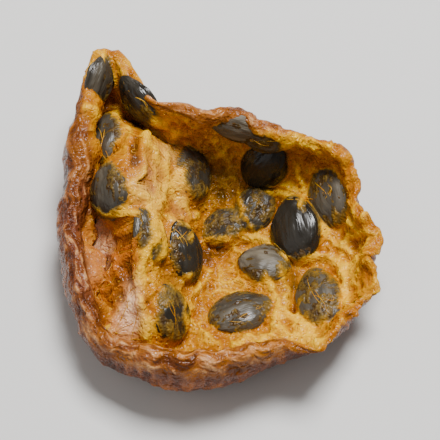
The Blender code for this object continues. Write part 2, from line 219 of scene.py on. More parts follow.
# The rim at stations round the cup: how wide the bare band of rind inside it is, in mm and under
# 0 where the pulp spills over it, how pink it is, from 0 to 1, how ragged it is, how far the band
# rolls over to the outside, how much thinner the rim is, how much the pulp fills the hollow under
# its curl and how far the edge is drawn outwards, in mm.
Band = namedtuple("Band", "angle width pink ragged roll thin fill out")
BANDS = (
    Band(0, -1.2, 0.1, 0.40, 0.4, 0.45, 0, 0.3),
    Band(45, -0.7, 0.3, 0.30, 0.4, 0.4, 0, 0.2),
    Band(60, 0.7, 0.5, 0.14, 0.5, 0.15, 0, 0),
    Band(90, 1.3, 0.45, 0.08, 0.6, 0.0, 0, 0),
    Band(103, 0.8, 0.45, 0.12, 0.6, 0.0, 0, 0.6),
    Band(112, -0.8, 0.2, 0.35, 0.4, 0.2, 0, 0.8),
    Band(126, -0.6, 0.1, 0.30, 0.4, 0.2, 0.8, 0),
    Band(140, 0.8, 0.5, 0.14, 0.8, 0.1, 1.7, 0),
    Band(155, 2.4, 0.75, 0.08, 1.6, 0.3, 2.7, 0),
    Band(185, 3.0, 0.9, 0.08, 2.0, 0.4, 2.9, 0),
    Band(212, 2.9, 0.8, 0.08, 2.4, 0.4, 2.6, 0),
    Band(232, 3.0, 0.6, 0.08, 2.6, 0.3, 1.7, 0),
    Band(250, 3.7, 0.55, 0.06, 2.7, 0.2, 1.1, 0),
    Band(275, 4.0, 0.50, 0.06, 2.7, 0.2, 0.9, 0),
    Band(292, 3.4, 0.35, 0.10, 2.3, 0.2, 0.5, 0),
    Band(303, 0.8, 0.2, 0.30, 1.0, 0.3, 0, 0.2),
    Band(318, -1.2, 0.1, 0.45, 0.4, 0.45, 0, 0.3),
)

# Places on the pulp that differ from the rest: how far they spread each way, in mm, and how
# strongly the mark shows there. A calm place is smoother than the rest. Glossy pale places are
# painted highlights, olive places deep in the bowl are painted shade, and bright places are
# yellower pulp, partly painted highlight.
Patch = namedtuple("Patch", "mark across up wide tall share")
PATCH_MARKS = ("flank", "painted_highlight", "calm", "yellow_and_highlight", "bowl_shade")
PATCHES = (
    Patch("flank", -13.2, -3.0, 2.2, 5.0, 0.80),
    Patch("flank", -10.7, -1.8, 1.9, 3.2, 1.0),
    Patch("flank", -11.0, -9.0, 3.0, 1.6, 0.7),
    Patch("painted_highlight", -9.2, -7.3, 0.95, 2.4, 1.4),
    Patch("painted_highlight", -13.2, -0.2, 1.0, 3.4, 1.0),
    Patch("painted_highlight", -7.2, 5.6, 1.5, 3.0, 0.18),
    Patch("painted_highlight", -5.2, 9.4, 1.4, 1.6, 0.20),
    Patch("painted_highlight", -4.4, 4.0, 1.0, 3.4, 0.12),
    Patch("calm", -7.4, 6.0, 1.8, 4.6, 0.9),
    Patch("calm", -5.6, 10.2, 2.0, 1.8, 0.7),
    Patch("calm", -9.1, -7.2, 1.3, 2.8, 1.0),
    Patch("calm", -12.6, -1.0, 1.8, 3.0, 0.5),
    Patch("calm", 12.6, 8.6, 2.4, 1.4, 0.6),
    Patch("yellow_and_highlight", 9.4, 9.9, 3.2, 1.3, 1.0),
    Patch("yellow_and_highlight", 7.6, 5.0, 1.6, 0.9, 0.8),
    Patch("yellow_and_highlight", 13.0, -1.6, 1.3, 2.4, 0.4),
    Patch("yellow_and_highlight", 8.6, -9.8, 2.2, 1.6, 0.8),
    Patch("yellow_and_highlight", -7.0, -3.4, 1.2, 2.6, 0.9),
    Patch("yellow_and_highlight", 0.6, -4.6, 2.0, 1.8, 0.7),
    Patch("yellow_and_highlight", -6.6, 10.4, 1.4, 1.8, 0.7),
    Patch("yellow_and_highlight", -5.4, 4.6, 0.9, 2.6, 0.6),
    Patch("bowl_shade", 0.4, 5.4, 3.0, 3.0, 1.0),
    Patch("bowl_shade", -4.6, -4.6, 1.4, 2.2, 0.7),
    Patch("bowl_shade", 7.4, -4.6, 1.4, 1.8, 0.7),
    Patch("bowl_shade", 1.6, 0.8, 3.4, 2.6, 0.5),
)

# Ridges and, with a height under 0, hollows of the pulp: how wide and high they are and the places
# that they pass.
Ridge = namedtuple("Ridge", "wide high path")
RIDGES = (
    # the fold's crest and the vertical folds of the bowl's left wall
    Ridge(0.55, 0.50, (
        (-7.6, 11.2), (-8.2, 8.0), (-8.0, 5.5), (-7.2, 3.0), (-7.0, -0.5),
        (-8.1, -3.0), (-8.3, -6.0), (-7.7, -9.7),
    )),
    Ridge(0.40, 0.45, ((-4.9, 10.7), (-5.5, 8.0), (-5.7, 4.5), (-6.3, 1.5), (-6.1, -2.0))),
    Ridge(0.35, 0.35, ((-6.5, 9.5), (-6.7, 6.0), (-6.5, 3.0))),
    Ridge(0.35, 0.40, ((-7.2, 13.4), (-6.0, 12.0), (-5.4, 10.2))),
    # membranes round and between the bowl's seeds
    Ridge(0.30, 0.45, ((-4.7, 7.0), (-5.0, 4.5), (-3.7, 2.7), (-3.4, 2.0))),
    Ridge(0.26, 0.35, ((-5.4, 2.2), (-4.0, 0.5), (-4.2, -0.7))),
    Ridge(0.26, 0.35, ((-2.7, 2.5), (-4.0, 0.5))),
    Ridge(0.30, 0.35, ((-3.7, -4.0), (-4.0, -6.2), (-4.4, -7.5), (-4.0, -9.2))),
    Ridge(0.35, 0.35, ((-1.0, -3.7), (-2.7, -6.0), (-3.4, -8.0))),
    Ridge(0.30, 0.30, ((-1.7, 4.5), (0.0, 6.0), (1.7, 6.5))),
    Ridge(0.30, 0.30, ((-1.5, -0.5), (0.5, -0.5), (2.2, -1.5))),
    Ridge(0.30, 0.40, ((2.5, 0.0), (4.2, 0.0), (6.0, -1.2), (7.0, -3.0))),
    Ridge(0.28, 0.45, ((5.4, 4.7), (7.5, 4.5), (9.2, 5.0))),
    Ridge(0.26, 0.40, ((5.7, 5.7), (7.2, 5.5), (8.2, 4.0))),
    Ridge(0.28, 0.40, ((6.7, -2.0), (8.5, -2.9), (10.5, -2.0))),
    Ridge(0.30, 0.35, ((2.0, 4.7), (2.2, 2.5), (3.5, 1.0))),
    # the right wall and its rim
    Ridge(0.50, 0.60, ((6.5, -3.5), (7.3, -5.5), (7.0, -7.5), (8.5, -9.2), (10.5, -11.3))),
    Ridge(0.40, 0.45, ((5.0, -4.5), (6.2, -6.7), (5.5, -9.2), (7.5, -10.2), (9.2, -10.7))),
    Ridge(0.40, 0.50, ((11.0, -2.0), (12.9, -3.0), (13.2, -5.5), (12.7, -8.2), (11.7, -10.5))),
    Ridge(0.40, 0.45, ((14.3, 4.5), (13.7, 0.5), (12.7, -2.0))),
    Ridge(0.45, 0.50, ((14.2, 0.5), (15.7, 0.8), (16.9, 0.3))),
    Ridge(0.45, 0.45, ((7.2, 10.0), (9.7, 9.5), (12.0, 10.0), (13.9, 8.5), (14.6, 6.5))),
    Ridge(0.32, 0.40, ((8.2, 7.0), (9.0, 4.5), (9.5, 2.2))),
    Ridge(0.35, 0.40, ((11.0, 1.2), (12.0, -0.5), (14.2, -2.0), (13.9, -5.0))),
    # where the pulp meets the front rim
    Ridge(0.30, 0.35, ((-3.0, -8.5), (-1.5, -10.5), (1.0, -11.3), (3.5, -11.0), (6.0, -9.6))),
    Ridge(0.35, 0.35, ((-7.7, -10.2), (-7.0, -12.4), (-7.5, -13.9))),
    # the tip and the side wing
    Ridge(0.40, 0.50, ((-14.1, 16.9), (-12.6, 19.5), (-10.5, 19.8), (-8.5, 17.4), (-7.1, 15.2))),
    Ridge(0.30, 0.40, ((-11.7, 18.2), (-11.1, 15.9), (-10.3, 14.2))),
    Ridge(0.35, 0.40, ((-13.2, 14.7), (-11.2, 13.9), (-9.8, 12.0), (-9.7, 9.5), (-9.3, 7.7))),
    Ridge(0.30, 0.35, ((-14.3, 11.5), (-14.1, 8.5), (-13.1, 7.0))),
    Ridge(0.30, 0.30, ((-13.9, 6.0), (-13.2, 3.5), (-11.5, 2.2), (-9.5, 2.5), (-8.5, 4.0))),
    Ridge(0.32, 0.35, ((-13.6, 2.5), (-12.8, -0.5), (-13.6, -3.0))),
    Ridge(0.30, 0.30, ((-11.5, 1.5), (-11.0, -1.2), (-11.7, -4.0))),
    Ridge(0.30, 0.35, ((-14.9, -3.2), (-13.6, -5.7), (-12.0, -7.7), (-10.2, -8.8))),
    Ridge(0.28, 0.30, ((-12.7, -5.0), (-10.7, -7.0), (-10.3, -9.5))),
    Ridge(0.70, 0.35, ((-12.1, -4.2), (-11.5, -6.0))),
    Ridge(0.28, 0.30, ((-15.2, -6.2), (-13.9, -8.7), (-12.2, -10.2), (-10.7, -10.7))),
    # hollows
    Ridge(1.60, -0.30, ((-12.2, 13.7), (-12.7, 8.0), (-12.4, 3.0), (-12.7, -2.0), (-10.7, -6.7))),
    Ridge(1.20, -0.75, ((-10.6, 0.6), (-10.4, -1.8), (-10.2, -4.2))),
    Ridge(0.70, -0.45, ((-8.2, 13.7), (-9.0, 11.2), (-9.0, 8.0))),
    Ridge(1.00, -0.40, ((-3.0, -3.0), (-1.0, -1.5), (1.0, 0.0))),
    Ridge(0.50, -0.65, ((7.3, -3.4), (7.8, -5.4), (7.6, -7.6))),
)

# Strands that are listed, besides the scattered ones.
LAID_STRANDS = (
    ((-5.6, 1.6), (-4.9, 0.7), (-4.1, -0.3), (-3.6, -1.6)),
    ((-2.4, 1.9), (-2.7, 0.9), (-3.3, 0.1), (-4.1, -0.3)),
    ((5.9, 5.3), (7.2, 4.9), (8.4, 4.9), (9.6, 5.7)),
    ((6.4, 4.3), (7.9, 4.4), (9.2, 3.9), (10.4, 3.6)),
    ((7.0, 5.9), (7.6, 4.6), (8.9, 4.0), (9.6, 2.9)),
    ((9.8, 6.6), (10.4, 5.2), (11.2, 4.1), (12.6, 3.4)),
    ((10.9, 6.4), (11.6, 5.2), (11.4, 4.0), (11.9, 2.2)),
    ((0.4, -8.8), (2.0, -8.4), (3.6, -7.6), (5.6, -6.6)),
    ((9.0, -3.9), (9.7, -5.4), (10.6, -6.9), (11.2, -8.8)),
    ((8.4, -6.2), (9.8, -6.0), (11.0, -6.6), (12.2, -6.0)),
    ((-6.2, -5.6), (-5.2, -6.8), (-4.6, -8.2), (-4.4, -9.8)),
    ((-13.6, 12.6), (-12.6, 11.2), (-12.4, 9.6), (-11.6, 8.0)),
    ((-10.4, 16.6), (-9.4, 15.4), (-8.2, 14.4), (-7.4, 12.8)),
    ((1.6, 10.1), (3.4, 10.3), (5.2, 9.9), (6.4, 9.9)),
)

# How far the pulp between its ridges lies under the solid's surface, so that it keeps its level
# on the whole, and where that starts and how fast it sets in, from the rim.
PULP_SINK = 0.35 * MM
SINK_START = 1.0
SINK_WITHIN = 3.0

# The layers of noise in the relief. lobes is how often a layer repeats round the cup, or 0 where
# it is alike in each direction, spacing is in mm, offset is where in the noise it starts, and a
# crested one has sharp ridges. high is its share of the height and tone its share of the colour's
# light and dark over the relief: painted shade in its hollows, and crests that are paler, partly
# from drying and partly painted highlight.
Layer = namedtuple("Layer", "lobes spacing offset crested high tone")
EDGE_LAYERS = (Layer(0, 1.3, 0.0, False, 0.5, 0.0), Layer(0, 0.5, 0.0, False, 0.25, 0.0))
PULP_STRANDS = (Layer(9.0, 4.0, 0.0, True, 0.40, 0.36),)
PULP_THREADS = (Layer(21.0, 2.4, 9.0, True, 0.22, 0.198),)
PULP_WEBS = (Layer(0, 1.7, 0.0, True, 0.45, 0.405), Layer(0, 0.75, 5.0, True, 0.34, 0.306))
PULP_BUMPS = (Layer(0, 2.6, 11.0, False, 1.0, 0.0),)
RIM_WANDER = (Layer(0, 3.2, 13.0, False, 0.9, 0.0),)
RIM_WRINKLES = (
    Layer(4.5, 0.95, 2.0, True, 0.7, 0.8),
    Layer(0, 2.2, 3.0, False, 0.9, 0.4),
    Layer(16.0, 1.3, 17.0, True, 0.3, 0.5),
)
RIM_TEARS = (Layer(15.0, 3.0, 6.0, False, 1.0, 0.0), Layer(34.0, 3.0, 7.0, False, 0.6, 0.0))
SKIN_FOLDS = (
    Layer(5.0, 7.0, 4.0, True, 1.0, 0.7),
    Layer(13.0, 5.0, 14.0, True, 0.5, 0.5),
    Layer(0, 1.2, 8.0, True, 0.3, 0.4),
)

# How the pulp, the rim and the skin pass into each other along the sheet, how far the rim's
# tears, thinning and drawing out reach, how the pulp fills the hollow under the curl, and where
# the cup's wall starts, as a share of the way to the rim. Plain numbers are in mm or shares.
EDGE_BLEND = 0.5
SKIN_BLEND = 0.9
SKIN_RAGGED = 0.6
GROOVE_WIDTH = 1.3
GROOVE_FROM = 2.4
TEAR_REACH = 1.3 * MM
THIN_REACH = 2.2 * MM
SPREAD_REACH = 2.4 * MM
FILL_MIDDLE = 2.0
FILL_REACH = 2.2
FILL_LEVEL = 0.8
FILL_BUMPS = 0.5
PULP_REACH = 24.0 * MM
HUB = 0.4
WALL_START = 0.3
WALL_WITHIN = 0.3
END_ROWS = 14.0
CALM_SHARE = 0.8
# How much the tone lightens on the listed ridges, partly painted highlight, and how much painted
# shade darkens the hollows and the groove by the rim.
RIDGE_TONE = 0.8
HOLLOW_SHADE = 1.1
GROOVE_SHADE = 1.3

# The listed ridges waver and swell, and show in full from a height of RIDGE_FULL.
RIDGE_SHARE = 0.85
RIDGE_SPREAD = 1.15
RIDGE_FULL = 0.45
RIDGE_WAVER = 0.35
WAVER_SIZE = 1.6
WAVER_ACROSS = 21.0
WAVER_UP = 31.0
RIDGE_SWELL = 0.9
SWELL_SIZE = 1.3
SWELL_OFFSET = 41.0
RIDGE_FACING = 0.35

# The film over the seeds: the size of its lumps, crumples and fibres, how far apart in the noise
# two seeds lie, their shares, how much the film gains from a seed's cover, towards the seed's edge
# and from the ridges, and where it ends, in half widths of the seed.
FILM_REACH = 1.5
FILM_FADE = 0.3
FILM_BLEND = 0.16 * MM
FILM_LUMP = 1.1 * MM
FILM_CRUMPLE = 0.62 * MM
FIBRE_LONG = 2.4 * MM
FIBRE_WIDE = 0.42 * MM
LUMP_STEP = 7.3
FIBRE_STEP = 3.1
CRUMPLE_STEP = 5.7
LUMP_SHARE = 0.8
FIBRE_SHARE = 0.4
CRUMPLE_SHARE = 0.35
BROKEN_LEAST = 0.6
BROKEN_MOST = 0.4
COVER_GAIN = 2.5
BARE_LEVEL = 0.98
EDGE_GAIN = 0.5
EDGE_START = 0.62
LAID_GAIN = 1.6
SHEER = 0.17 * MM
SHEER_END = 1.1
SHEER_FADE = 0.2
FIBRE_TONE = 0.6
CRUMPLE_TONE = 0.5
LAID_TONE = 1.1
TONE_END = 1.6

# The radius that the places on the sheet have round the cup, for the material's lines.
SHEET_RADIUS = 4.0 * MM

# The strands, scattered over rows and columns of the fine grid or listed and frayed.
STRAND_SEED = 11
STRAND_STEPS = 14
STRAND_SIDES = 6
STRAND_FIRST_ROW = 30
STRAND_LAST_ROW = TOP_ROWS - 6
ROWS_CROSSED = 34
COLUMNS_CROSSED = 12
ROW_SWAY = 3.0
COLUMN_SWAY = 2.0
LEAST_ROW = 8
LEAST_PULP = 0.5
FRAY_SEED = 4
FRAYED = 2
FRAY_WIDTH = 0.5 * MM
FRAY_SWAY = 0.6
SEED_CLEARANCE = 1.5 * MM
CRUMB_SEED = 5
FLOOR_HALF = 2.0
AIM_HEIGHT = 6.5 * MM

# Values of the materials and of the node trees.
STREAK_SCALE = 1500.0
PLEAT_SCALE = 1300.0
CRUMB_SCALE = 5000.0
MOTTLE_SCALE = 30.0
# Painted shade in the wrinkles of the rolled rim.
RIM_SHADE = (0.36, 0.28, 0.24, 1.0)
SKY_COLOUR = (1.0, 0.99, 0.97, 1.0)
PLEAT_STRETCH = (3.4, 3.4, 0.22)
SEED_STRETCH = (0.0012, 0.0052, 0.0052)
SEED_STEP = 0.013
RIB_STRETCH = (0.8, 3.6, 3.6)
CRUMB_SPREAD = ((0.35, 0.25, 0.20), (1.3, 0.8, 0.55))
CRUMB_SPIN = ((0.0, 0.0, 0.0), (0.5, 0.5, 6.28))

# The marks at the mesh's points that the material of the flesh reads. Several of them paint light
# and shade into the colour.
FLESH_MARKS = (
    "pulp", "outer", "ridge", "crease", "pink", "film", "flank", "painted_highlight", "yellow_and_highlight", "bowl_shade",
)


def smooth_step(value):
    value = np.clip(value, 0.0, 1.0)
    return value * value * (3.0 - 2.0 * value)


def smooth_larger(first, second, blend):
    """The larger of two heights, with the corner between them rounded over blend."""
    near = np.clip(0.5 + 0.5 * (first - second) / blend, 0.0, 1.0)
    return second + (first - second) * near + blend * near * (1.0 - near)


def bell(distance, width):
    """1 in the middle and down to 0 on both sides, with most of the fall within the width."""
    return np.exp(-((distance / width) ** 2))


def noise_at(points):
    """Smooth noise from -1 to 1 at each row of points, whose spacing is one lump."""
    flat = np.asarray(points, float).reshape(-1, 3)
    values = np.fromiter((noise.noise(Vector(p)) for p in flat), float, len(flat))
    return values.reshape(np.shape(points)[:-1])


def ridged(points):
    """Noise with sharp crests: 1 on them and down to -1 between them."""
    return 1.0 - 2.0 * np.sqrt(np.abs(noise_at(points)) + 1e-6)


def rim_at(angles):
    """The rim's stations blended round the cup: one column for each angle in radians."""
    table = np.array(RIM)
    turns = np.arange(RIM_SAMPLES) * 360.0 / RIM_SAMPLES
    offsets = np.minimum(turns, 360.0 - turns)
    bell = np.exp(-0.5 * (offsets / RIM_BLUR_DEG) ** 2)
    bell = np.fft.rfft(bell / bell.sum())
    degrees = np.degrees(angles) % 360.0
    blended = {}
    for column, name in enumerate(Station._fields[1:], start=1):
        raw = np.interp(turns, table[:, 0], table[:, column], period=360.0)
        even = np.fft.irfft(np.fft.rfft(raw) * bell, RIM_SAMPLES)
        blended[name] = np.interp(degrees, turns, even, period=360.0)
    return blended


def profiles(angles, runs):
    """How far out and how high the sheet's middle is, one row for each run."""
    rim = rim_at(angles)
    steps = np.linspace(0.0, 1.0, PROFILE_STEPS)[:, None]
    bend = np.clip((steps - rim["turn"]) / (1.0 - rim["turn"]), 0.0, 1.0) ** BEND_POWER
    ramp = rim["ramp"] * smooth_step(steps / RAMP_START)
    slope = np.radians(ramp + (rim["curl"] - ramp) * bend)
    middles = 0.5 * (slope[1:] + slope[:-1])
    start = np.zeros((1, len(angles)))
    out = np.vstack([start, np.cumsum(np.cos(middles), axis=0)])
    rise = np.vstack([start, np.cumsum(np.sin(middles), axis=0)])
    waves = np.stack([np.cos(angles), np.sin(angles), np.zeros_like(angles)], axis=-1)
    waver = 1.0 + RIM_WAVER * noise_at(waves * RIM_WAVES)
    waver = waver + RIM_NICKS * noise_at(waves * RIM_NICK_WAVES)
    out *= rim["reach"] * MM * waver / out.max(axis=0)
    rise *= rim["height"] * MM / rise[-1]
    place = runs * (PROFILE_STEPS - 1)
    low = np.minimum(place.astype(int), PROFILE_STEPS - 2)
    part = (place - low)[:, None]
    return tuple(line[low] * (1 - part) + line[low + 1] * part for line in (out, rise))


def with_fold(x, y, height):
    """The height with the fold's rounded tent raised over it."""
    points = np.array(FOLD) * MM
    stops = np.linspace(0, len(FOLD) - 1, FOLD_STEPS)
    line = np.stack([np.interp(stops, range(len(FOLD)), row) for row in points.T], axis=-1)
    away = np.hypot(x[..., None] - line[:, 0], y[..., None] - line[:, 1])
    spot = line[away.argmin(axis=-1)]
    fall = np.where(x > spot[..., 0], BOWL_SIDE_FALL, WING_SIDE_FALL)
    distance = away.min(axis=-1)
    tent = spot[..., 2] - fall * (np.hypot(distance, FOLD_ROUND) - FOLD_ROUND)
    return smooth_larger(height, tent, FOLD_BLEND)


def eased(grid, passes):
    """The grid with each point drawn towards its neighbours, its first and last runs kept."""
    for _ in range(passes):
        beside = 0.5 * (np.roll(grid, 1, axis=1) + np.roll(grid, -1, axis=1))
        along = 0.5 * (grid[:-2] + grid[2:])
        grid = grid.copy()
        grid[1:-1] = 0.5 * grid[1:-1] + 0.25 * (beside[1:-1] + along)
    return grid


def grid_angles():
    return np.arange(GRID_ANGLES) * 2.0 * math.pi / GRID_ANGLES


def grid_runs():
    return np.arange(1, GRID_RUNS + 1) / GRID_RUNS


def middle_sheet(fold_share):
    """The sheet's middle surface, with a share of the fold: a grid of runs by angles by 3."""
    angles, runs = grid_angles(), grid_runs()
    out, rise = profiles(angles, runs)
    x = MIDDLE_X + out * np.cos(angles)
    y = MIDDLE_Y + out * np.sin(angles)
    pit = np.exp(-((x - PIT_X) ** 2 + (y - PIT_Y) ** 2) / PIT_WIDTH**2)
    fade = smooth_step((runs[:, None] - FOLD_FADE) / (FOLD_GONE - FOLD_FADE))
    fade = fade * smooth_step((FOLD_JOINS_Y - y) / FOLD_JOINS_WITHIN)
    folded = with_fold(x, y, rise)
    z = rise + (folded - rise) * (1.0 - fade) * fold_share - PIT_DEPTH * pit
    near = np.exp(-((x - PINCH_X) ** 2 + (y - PINCH_Y) ** 2) / PINCH_WIDTH**2)
    points = np.stack([x + PINCH_MOVE_X * near, y + PINCH_MOVE_Y * near, z], axis=-1)
    lumps = noise_at(points / LUMP_SIZE)
    points[..., 2] += LUMP_DEPTH * lumps * smooth_step(runs[:, None] / LUMP_WITHIN)
    return eased(points, EASE_PASSES)


def normals_of(points):
    """Unit normals of a grid of rows by angles, on the side of the cup's opening."""
    along = np.gradient(points, axis=0)
    beside = np.roll(points, -1, axis=1) - np.roll(points, 1, axis=1)
    normals = np.cross(along, beside)
    return normals / np.linalg.norm(normals, axis=-1, keepdims=True)


def creases(side):
    """Depth of the shrinkage wrinkles, which run out to the rim and then along it."""
    angles, runs = grid_angles(), grid_runs()[:, None]
    turn = np.stack([np.cos(angles), np.sin(angles)], axis=-1) * CREASE_COUNT
    grid = np.empty((GRID_RUNS, GRID_ANGLES, 3))
    grid[..., :2] = turn * (CREASE_SPREAD + runs[..., None])
    grid[..., 2] = side + runs * CREASE_RUNS
    outward = (1.0 - 2.0 * np.abs(noise_at(grid))) * CREASE_DEPTH
    grid[..., 2] = side + runs * RIM_CREASE_RUNS
    along_rim = noise_at(grid) * RIM_CREASE_DEPTH
    rimward = smooth_step((runs - RIM_CREASE_START) / RIM_CREASE_WITHIN)
    middle = smooth_step((runs - CREASE_START) / CREASE_WITHIN)
    return (outward * (1.0 - rimward) + along_rim * rimward) * middle


def offset_sheet(middle, away):
    """The middle surface moved along its eased normals, and eased again."""
    normals = eased(normals_of(middle), NORMAL_PASSES)
    normals /= np.linalg.norm(normals, axis=-1, keepdims=True)
    return eased(middle + normals * away[..., None], SIDE_PASSES)


@functools.cache
def sheet_faces():
    """The sheet's upper and lower points, as grids of runs by angles by 3."""
    lip = rim_at(grid_angles())["lip"] * MM
    edge = smooth_step((grid_runs()[:, None] - LIP_START) / (1.0 - LIP_START))
    half = 0.5 * (FLOOR_THICKNESS + (lip - FLOOR_THICKNESS) * edge)
    middle = middle_sheet(1.0)
    from_notch = np.hypot(middle[..., 0] - NOTCH_X, middle[..., 1] - NOTCH_Y) / NOTCH_WIDTH
    above = (half + creases(TOP_SIDE)) * (1.0 - NOTCH_THINNING * np.exp(-(from_notch**2)))
    below = half + creases(UNDER_SIDE)
    return offset_sheet(middle, above), offset_sheet(middle_sheet(UNDER_FOLD), -below)


def rim_cap(top, under, rings):
    """Rings that round the rim off from the top's last row to the underside's."""
    centre = 0.5 * (top[-1] + under[-1])
    radius = top[-1] - centre
    outward = centre - 0.5 * (top[-2] + under[-2])
    share = (outward * radius).sum(-1, keepdims=True) / (radius**2).sum(-1, keepdims=True)
    outward -= radius * share
    reach = np.linalg.norm(radius, axis=-1, keepdims=True)
    outward *= reach / np.linalg.norm(outward, axis=-1, keepdims=True)
    turns = np.arange(1, rings + 1) * math.pi / (rings + 1)
    return np.array([centre + radius * math.cos(t) + outward * math.sin(t) for t in turns])


@functools.cache
def settle_shift():
    """How far the sheet moves to lie on the ground, pressed in by PRESS and centred in plan."""
    points = []
    for grid, stride in zip(sheet_faces(), (TOP_STRIDE, UNDER_STRIDE)):
        outer = grid[int(CORE_RUN * GRID_RUNS) :]
        points.append(outer[::-1][::stride, ::ANGLE_STRIDE].reshape(-1, 3))
    points.append(rim_cap(*sheet_faces(), 3)[:, ::ANGLE_STRIDE].reshape(-1, 3))
    points = np.concatenate(points)
    middle = 0.5 * (points.max(axis=0) + points.min(axis=0))
    return np.array([-middle[0], -middle[1], -points[:, 2].min() - PRESS])


def cubic_weights(part):
    """Weights of the four neighbours of a place that lies part of the way past the second."""
    square, cube = part**2, part**3
    return (
        -0.5 * cube + square - 0.5 * part,
        1.5 * cube - 2.5 * square + 1.0,
        -1.5 * cube + 2.0 * square + 0.5 * part,
        0.5 * cube - 0.5 * square,
    )


def resampled(grid, rows, columns):
    """The grid read between its points along smooth curves. Columns wrap round the cup."""
    base = np.floor(rows).astype(int)
    weights = cubic_weights((rows - base)[:, None, None])
    last = len(grid) - 1
    lines = sum(w * grid[np.clip(base + k, 0, last)] for k, w in enumerate(weights, start=-1))
    base = np.floor(columns).astype(int)
    weights = cubic_weights((columns - base)[:, None])
    count = grid.shape[1]
    return sum(w * lines[:, (base + k) % count] for k, w in enumerate(weights, start=-1))


def fine_rows():
    """The sheet on the fine grid, before its relief: rows from the middle of the pulp, over the
    rim and back to the middle of the skin."""
    top, under = sheet_faces()
    columns = np.arange(FINE_ANGLES) * GRID_ANGLES / FINE_ANGLES
    top_rows = resampled(top, np.linspace(FIRST_ROW, GRID_RUNS - 1, TOP_ROWS), columns)
    under_rows = resampled(under, np.linspace(FIRST_ROW, GRID_RUNS - 1, UNDER_ROWS), columns)
    cap = rim_cap(top_rows, under_rows, CAP_RINGS)
    return np.concatenate([top_rows, cap, under_rows[::-1]])


def way_from_rim(rows):
    """How far each point lies from the rim along the sheet: under 0 on the pulp's side."""
    steps = np.linalg.norm(np.diff(rows, axis=0), axis=-1)
    way = np.vstack([np.zeros((1, rows.shape[1])), np.cumsum(steps, axis=0)])
    return way - way[TOP_ROWS + CAP_RINGS // 2]


def seen_up(points):
    """How far up each point is seen by the onlooker."""
    return points[..., 1] * UPWARD[1] + points[..., 2] * UPWARD[2]


@functools.cache
def seed_places():
    """For each seed, the matrix that lays it on the sheet's top where it is seen."""
    top = sheet_faces()[0]
    normals = normals_of(top)
    up = seen_up(top)
    facing = normals @ TOWARDS
    nearness = top @ TOWARDS
    places = []
    for seed in SEEDS:
        miss = np.hypot(top[..., 0] - seed.across * MM, up - seed.up * MM)
        miss = miss + np.where(facing > LEAST_FACING, 0.0, 1.0) - NEAR_SIDE_PULL * nearness
        spot = np.unravel_index(miss.argmin(), miss.shape)
        lean = SEED_LEAN * max(LEAN_UNDER - facing[spot], 0.0)
        normal = Vector(normals[spot] + TOWARDS * lean).normalized()
        turn = math.radians(seed.turn)
        seen = np.array([math.cos(turn), 0.0, 0.0]) + UPWARD * math.sin(turn)
        long_axis = Vector(seen) - normal * normal.dot(Vector(seen))
        long_axis.normalize()
        side = normal.cross(long_axis)
        rise = (seed.proud - 0.5) * seed.width * SEED_THICKNESS * MM + seed.lift * MM
        middle = Vector(top[spot]) + normal * rise
        axes = Matrix((long_axis, side, normal)).transposed()
        places.append(Matrix.Translation(middle) @ axes.to_4x4())
    return places


def half_sizes(seed):
    """Half the length and half the width of a seed."""
    return 0.5 * seed.length * SEED_GROWTH * MM, 0.5 * seed.width * SEED_GROWTH * MM


def seed_shell(seed, place, points):
    """The points as the seed sees them: how far out of its edge, how high over its middle, and
    how high its own surface is there."""
    local = (points - np.array(place.translation)) @ np.array(place.to_3x3())
    half_length, half_width = half_sizes(seed)
    half_width = half_width * (1.0 - SEED_POINT * smooth_step(local[..., 0] / half_length))
    out = np.hypot(local[..., 0] / half_length, local[..., 1] / half_width)
    dome = half_width * SEED_THICKNESS * np.sqrt(np.clip(1.0 - out**2, 0.0, 1.0))
    surface = dome - np.clip(out - 1.0, 0.0, None) * half_length
    return local, out, surface


def drape_over_seeds(points, marks, sizes):
    """Draws the pulp up round each seed, and over it as a broken film where it is covered."""
    for number, (seed, place) in enumerate(zip(SEEDS, seed_places())):
        local, out, surface = seed_shell(seed, place, points[:TOP_ROWS])
        near = (out < FILM_REACH) & (np.abs(local[..., 2]) < 0.5 * seed.length * MM)
        local, out, surface = local[near], out[near], surface[near]
        lumps = noise_at(local / FILM_LUMP + LUMP_STEP * number)
        fibres = ridged(local / (FIBRE_LONG, FIBRE_WIDE, FIBRE_WIDE) + FIBRE_STEP * number)
        crumple = ridged(local / FILM_CRUMPLE + CRUMPLE_STEP * number)
        rising = smooth_step((out - EDGE_START) / (1.0 - EDGE_START))
        laid = marks["laid"][:TOP_ROWS][near]
        film = LUMP_SHARE * lumps + FIBRE_SHARE * fibres + CRUMPLE_SHARE * crumple
        film = film * (BROKEN_LEAST + min(seed.cover, BROKEN_MOST))
        film = film + COVER_GAIN * seed.cover - BARE_LEVEL + EDGE_GAIN * rising + LAID_GAIN * laid
        height = local[:, 2]
        raised = smooth_larger(height, surface + sizes.film * film, FILM_BLEND)
        lift = (raised - height) * smooth_step((FILM_REACH - out) / FILM_FADE)
        index = np.nonzero(near)
        points[index] += np.array(place.to_3x3())[:, 2] * lift[:, None]
        over = np.clip(height + lift - surface, 0.0, None)
        sheer = np.exp(-over / SHEER) * smooth_step((SHEER_END - out) / SHEER_FADE)
        marks["film"][index] = np.maximum(marks["film"][index], sheer)
        ridge = FIBRE_TONE * fibres + CRUMPLE_TONE * crumple + LAID_TONE * laid
        marks["ridge"][index] += (ridge - marks["ridge"][index]) * smooth_step(TONE_END - out)


def summed(layers, rows, turn, along):
    """The height and the tone of some layers of noise. Those with lobes follow turn and along."""
    total = np.zeros((2,) + along.shape)
    for layer in layers:
        place = rows / (layer.spacing * MM) + layer.offset
        if layer.lobes:
            place[..., :2] = turn * layer.lobes
            place[..., 2] = along / (layer.spacing * MM) + layer.offset
        values = ridged(place) if layer.crested else noise_at(place)
        total[0] += layer.high * values
        total[1] += layer.tone * values
    return total


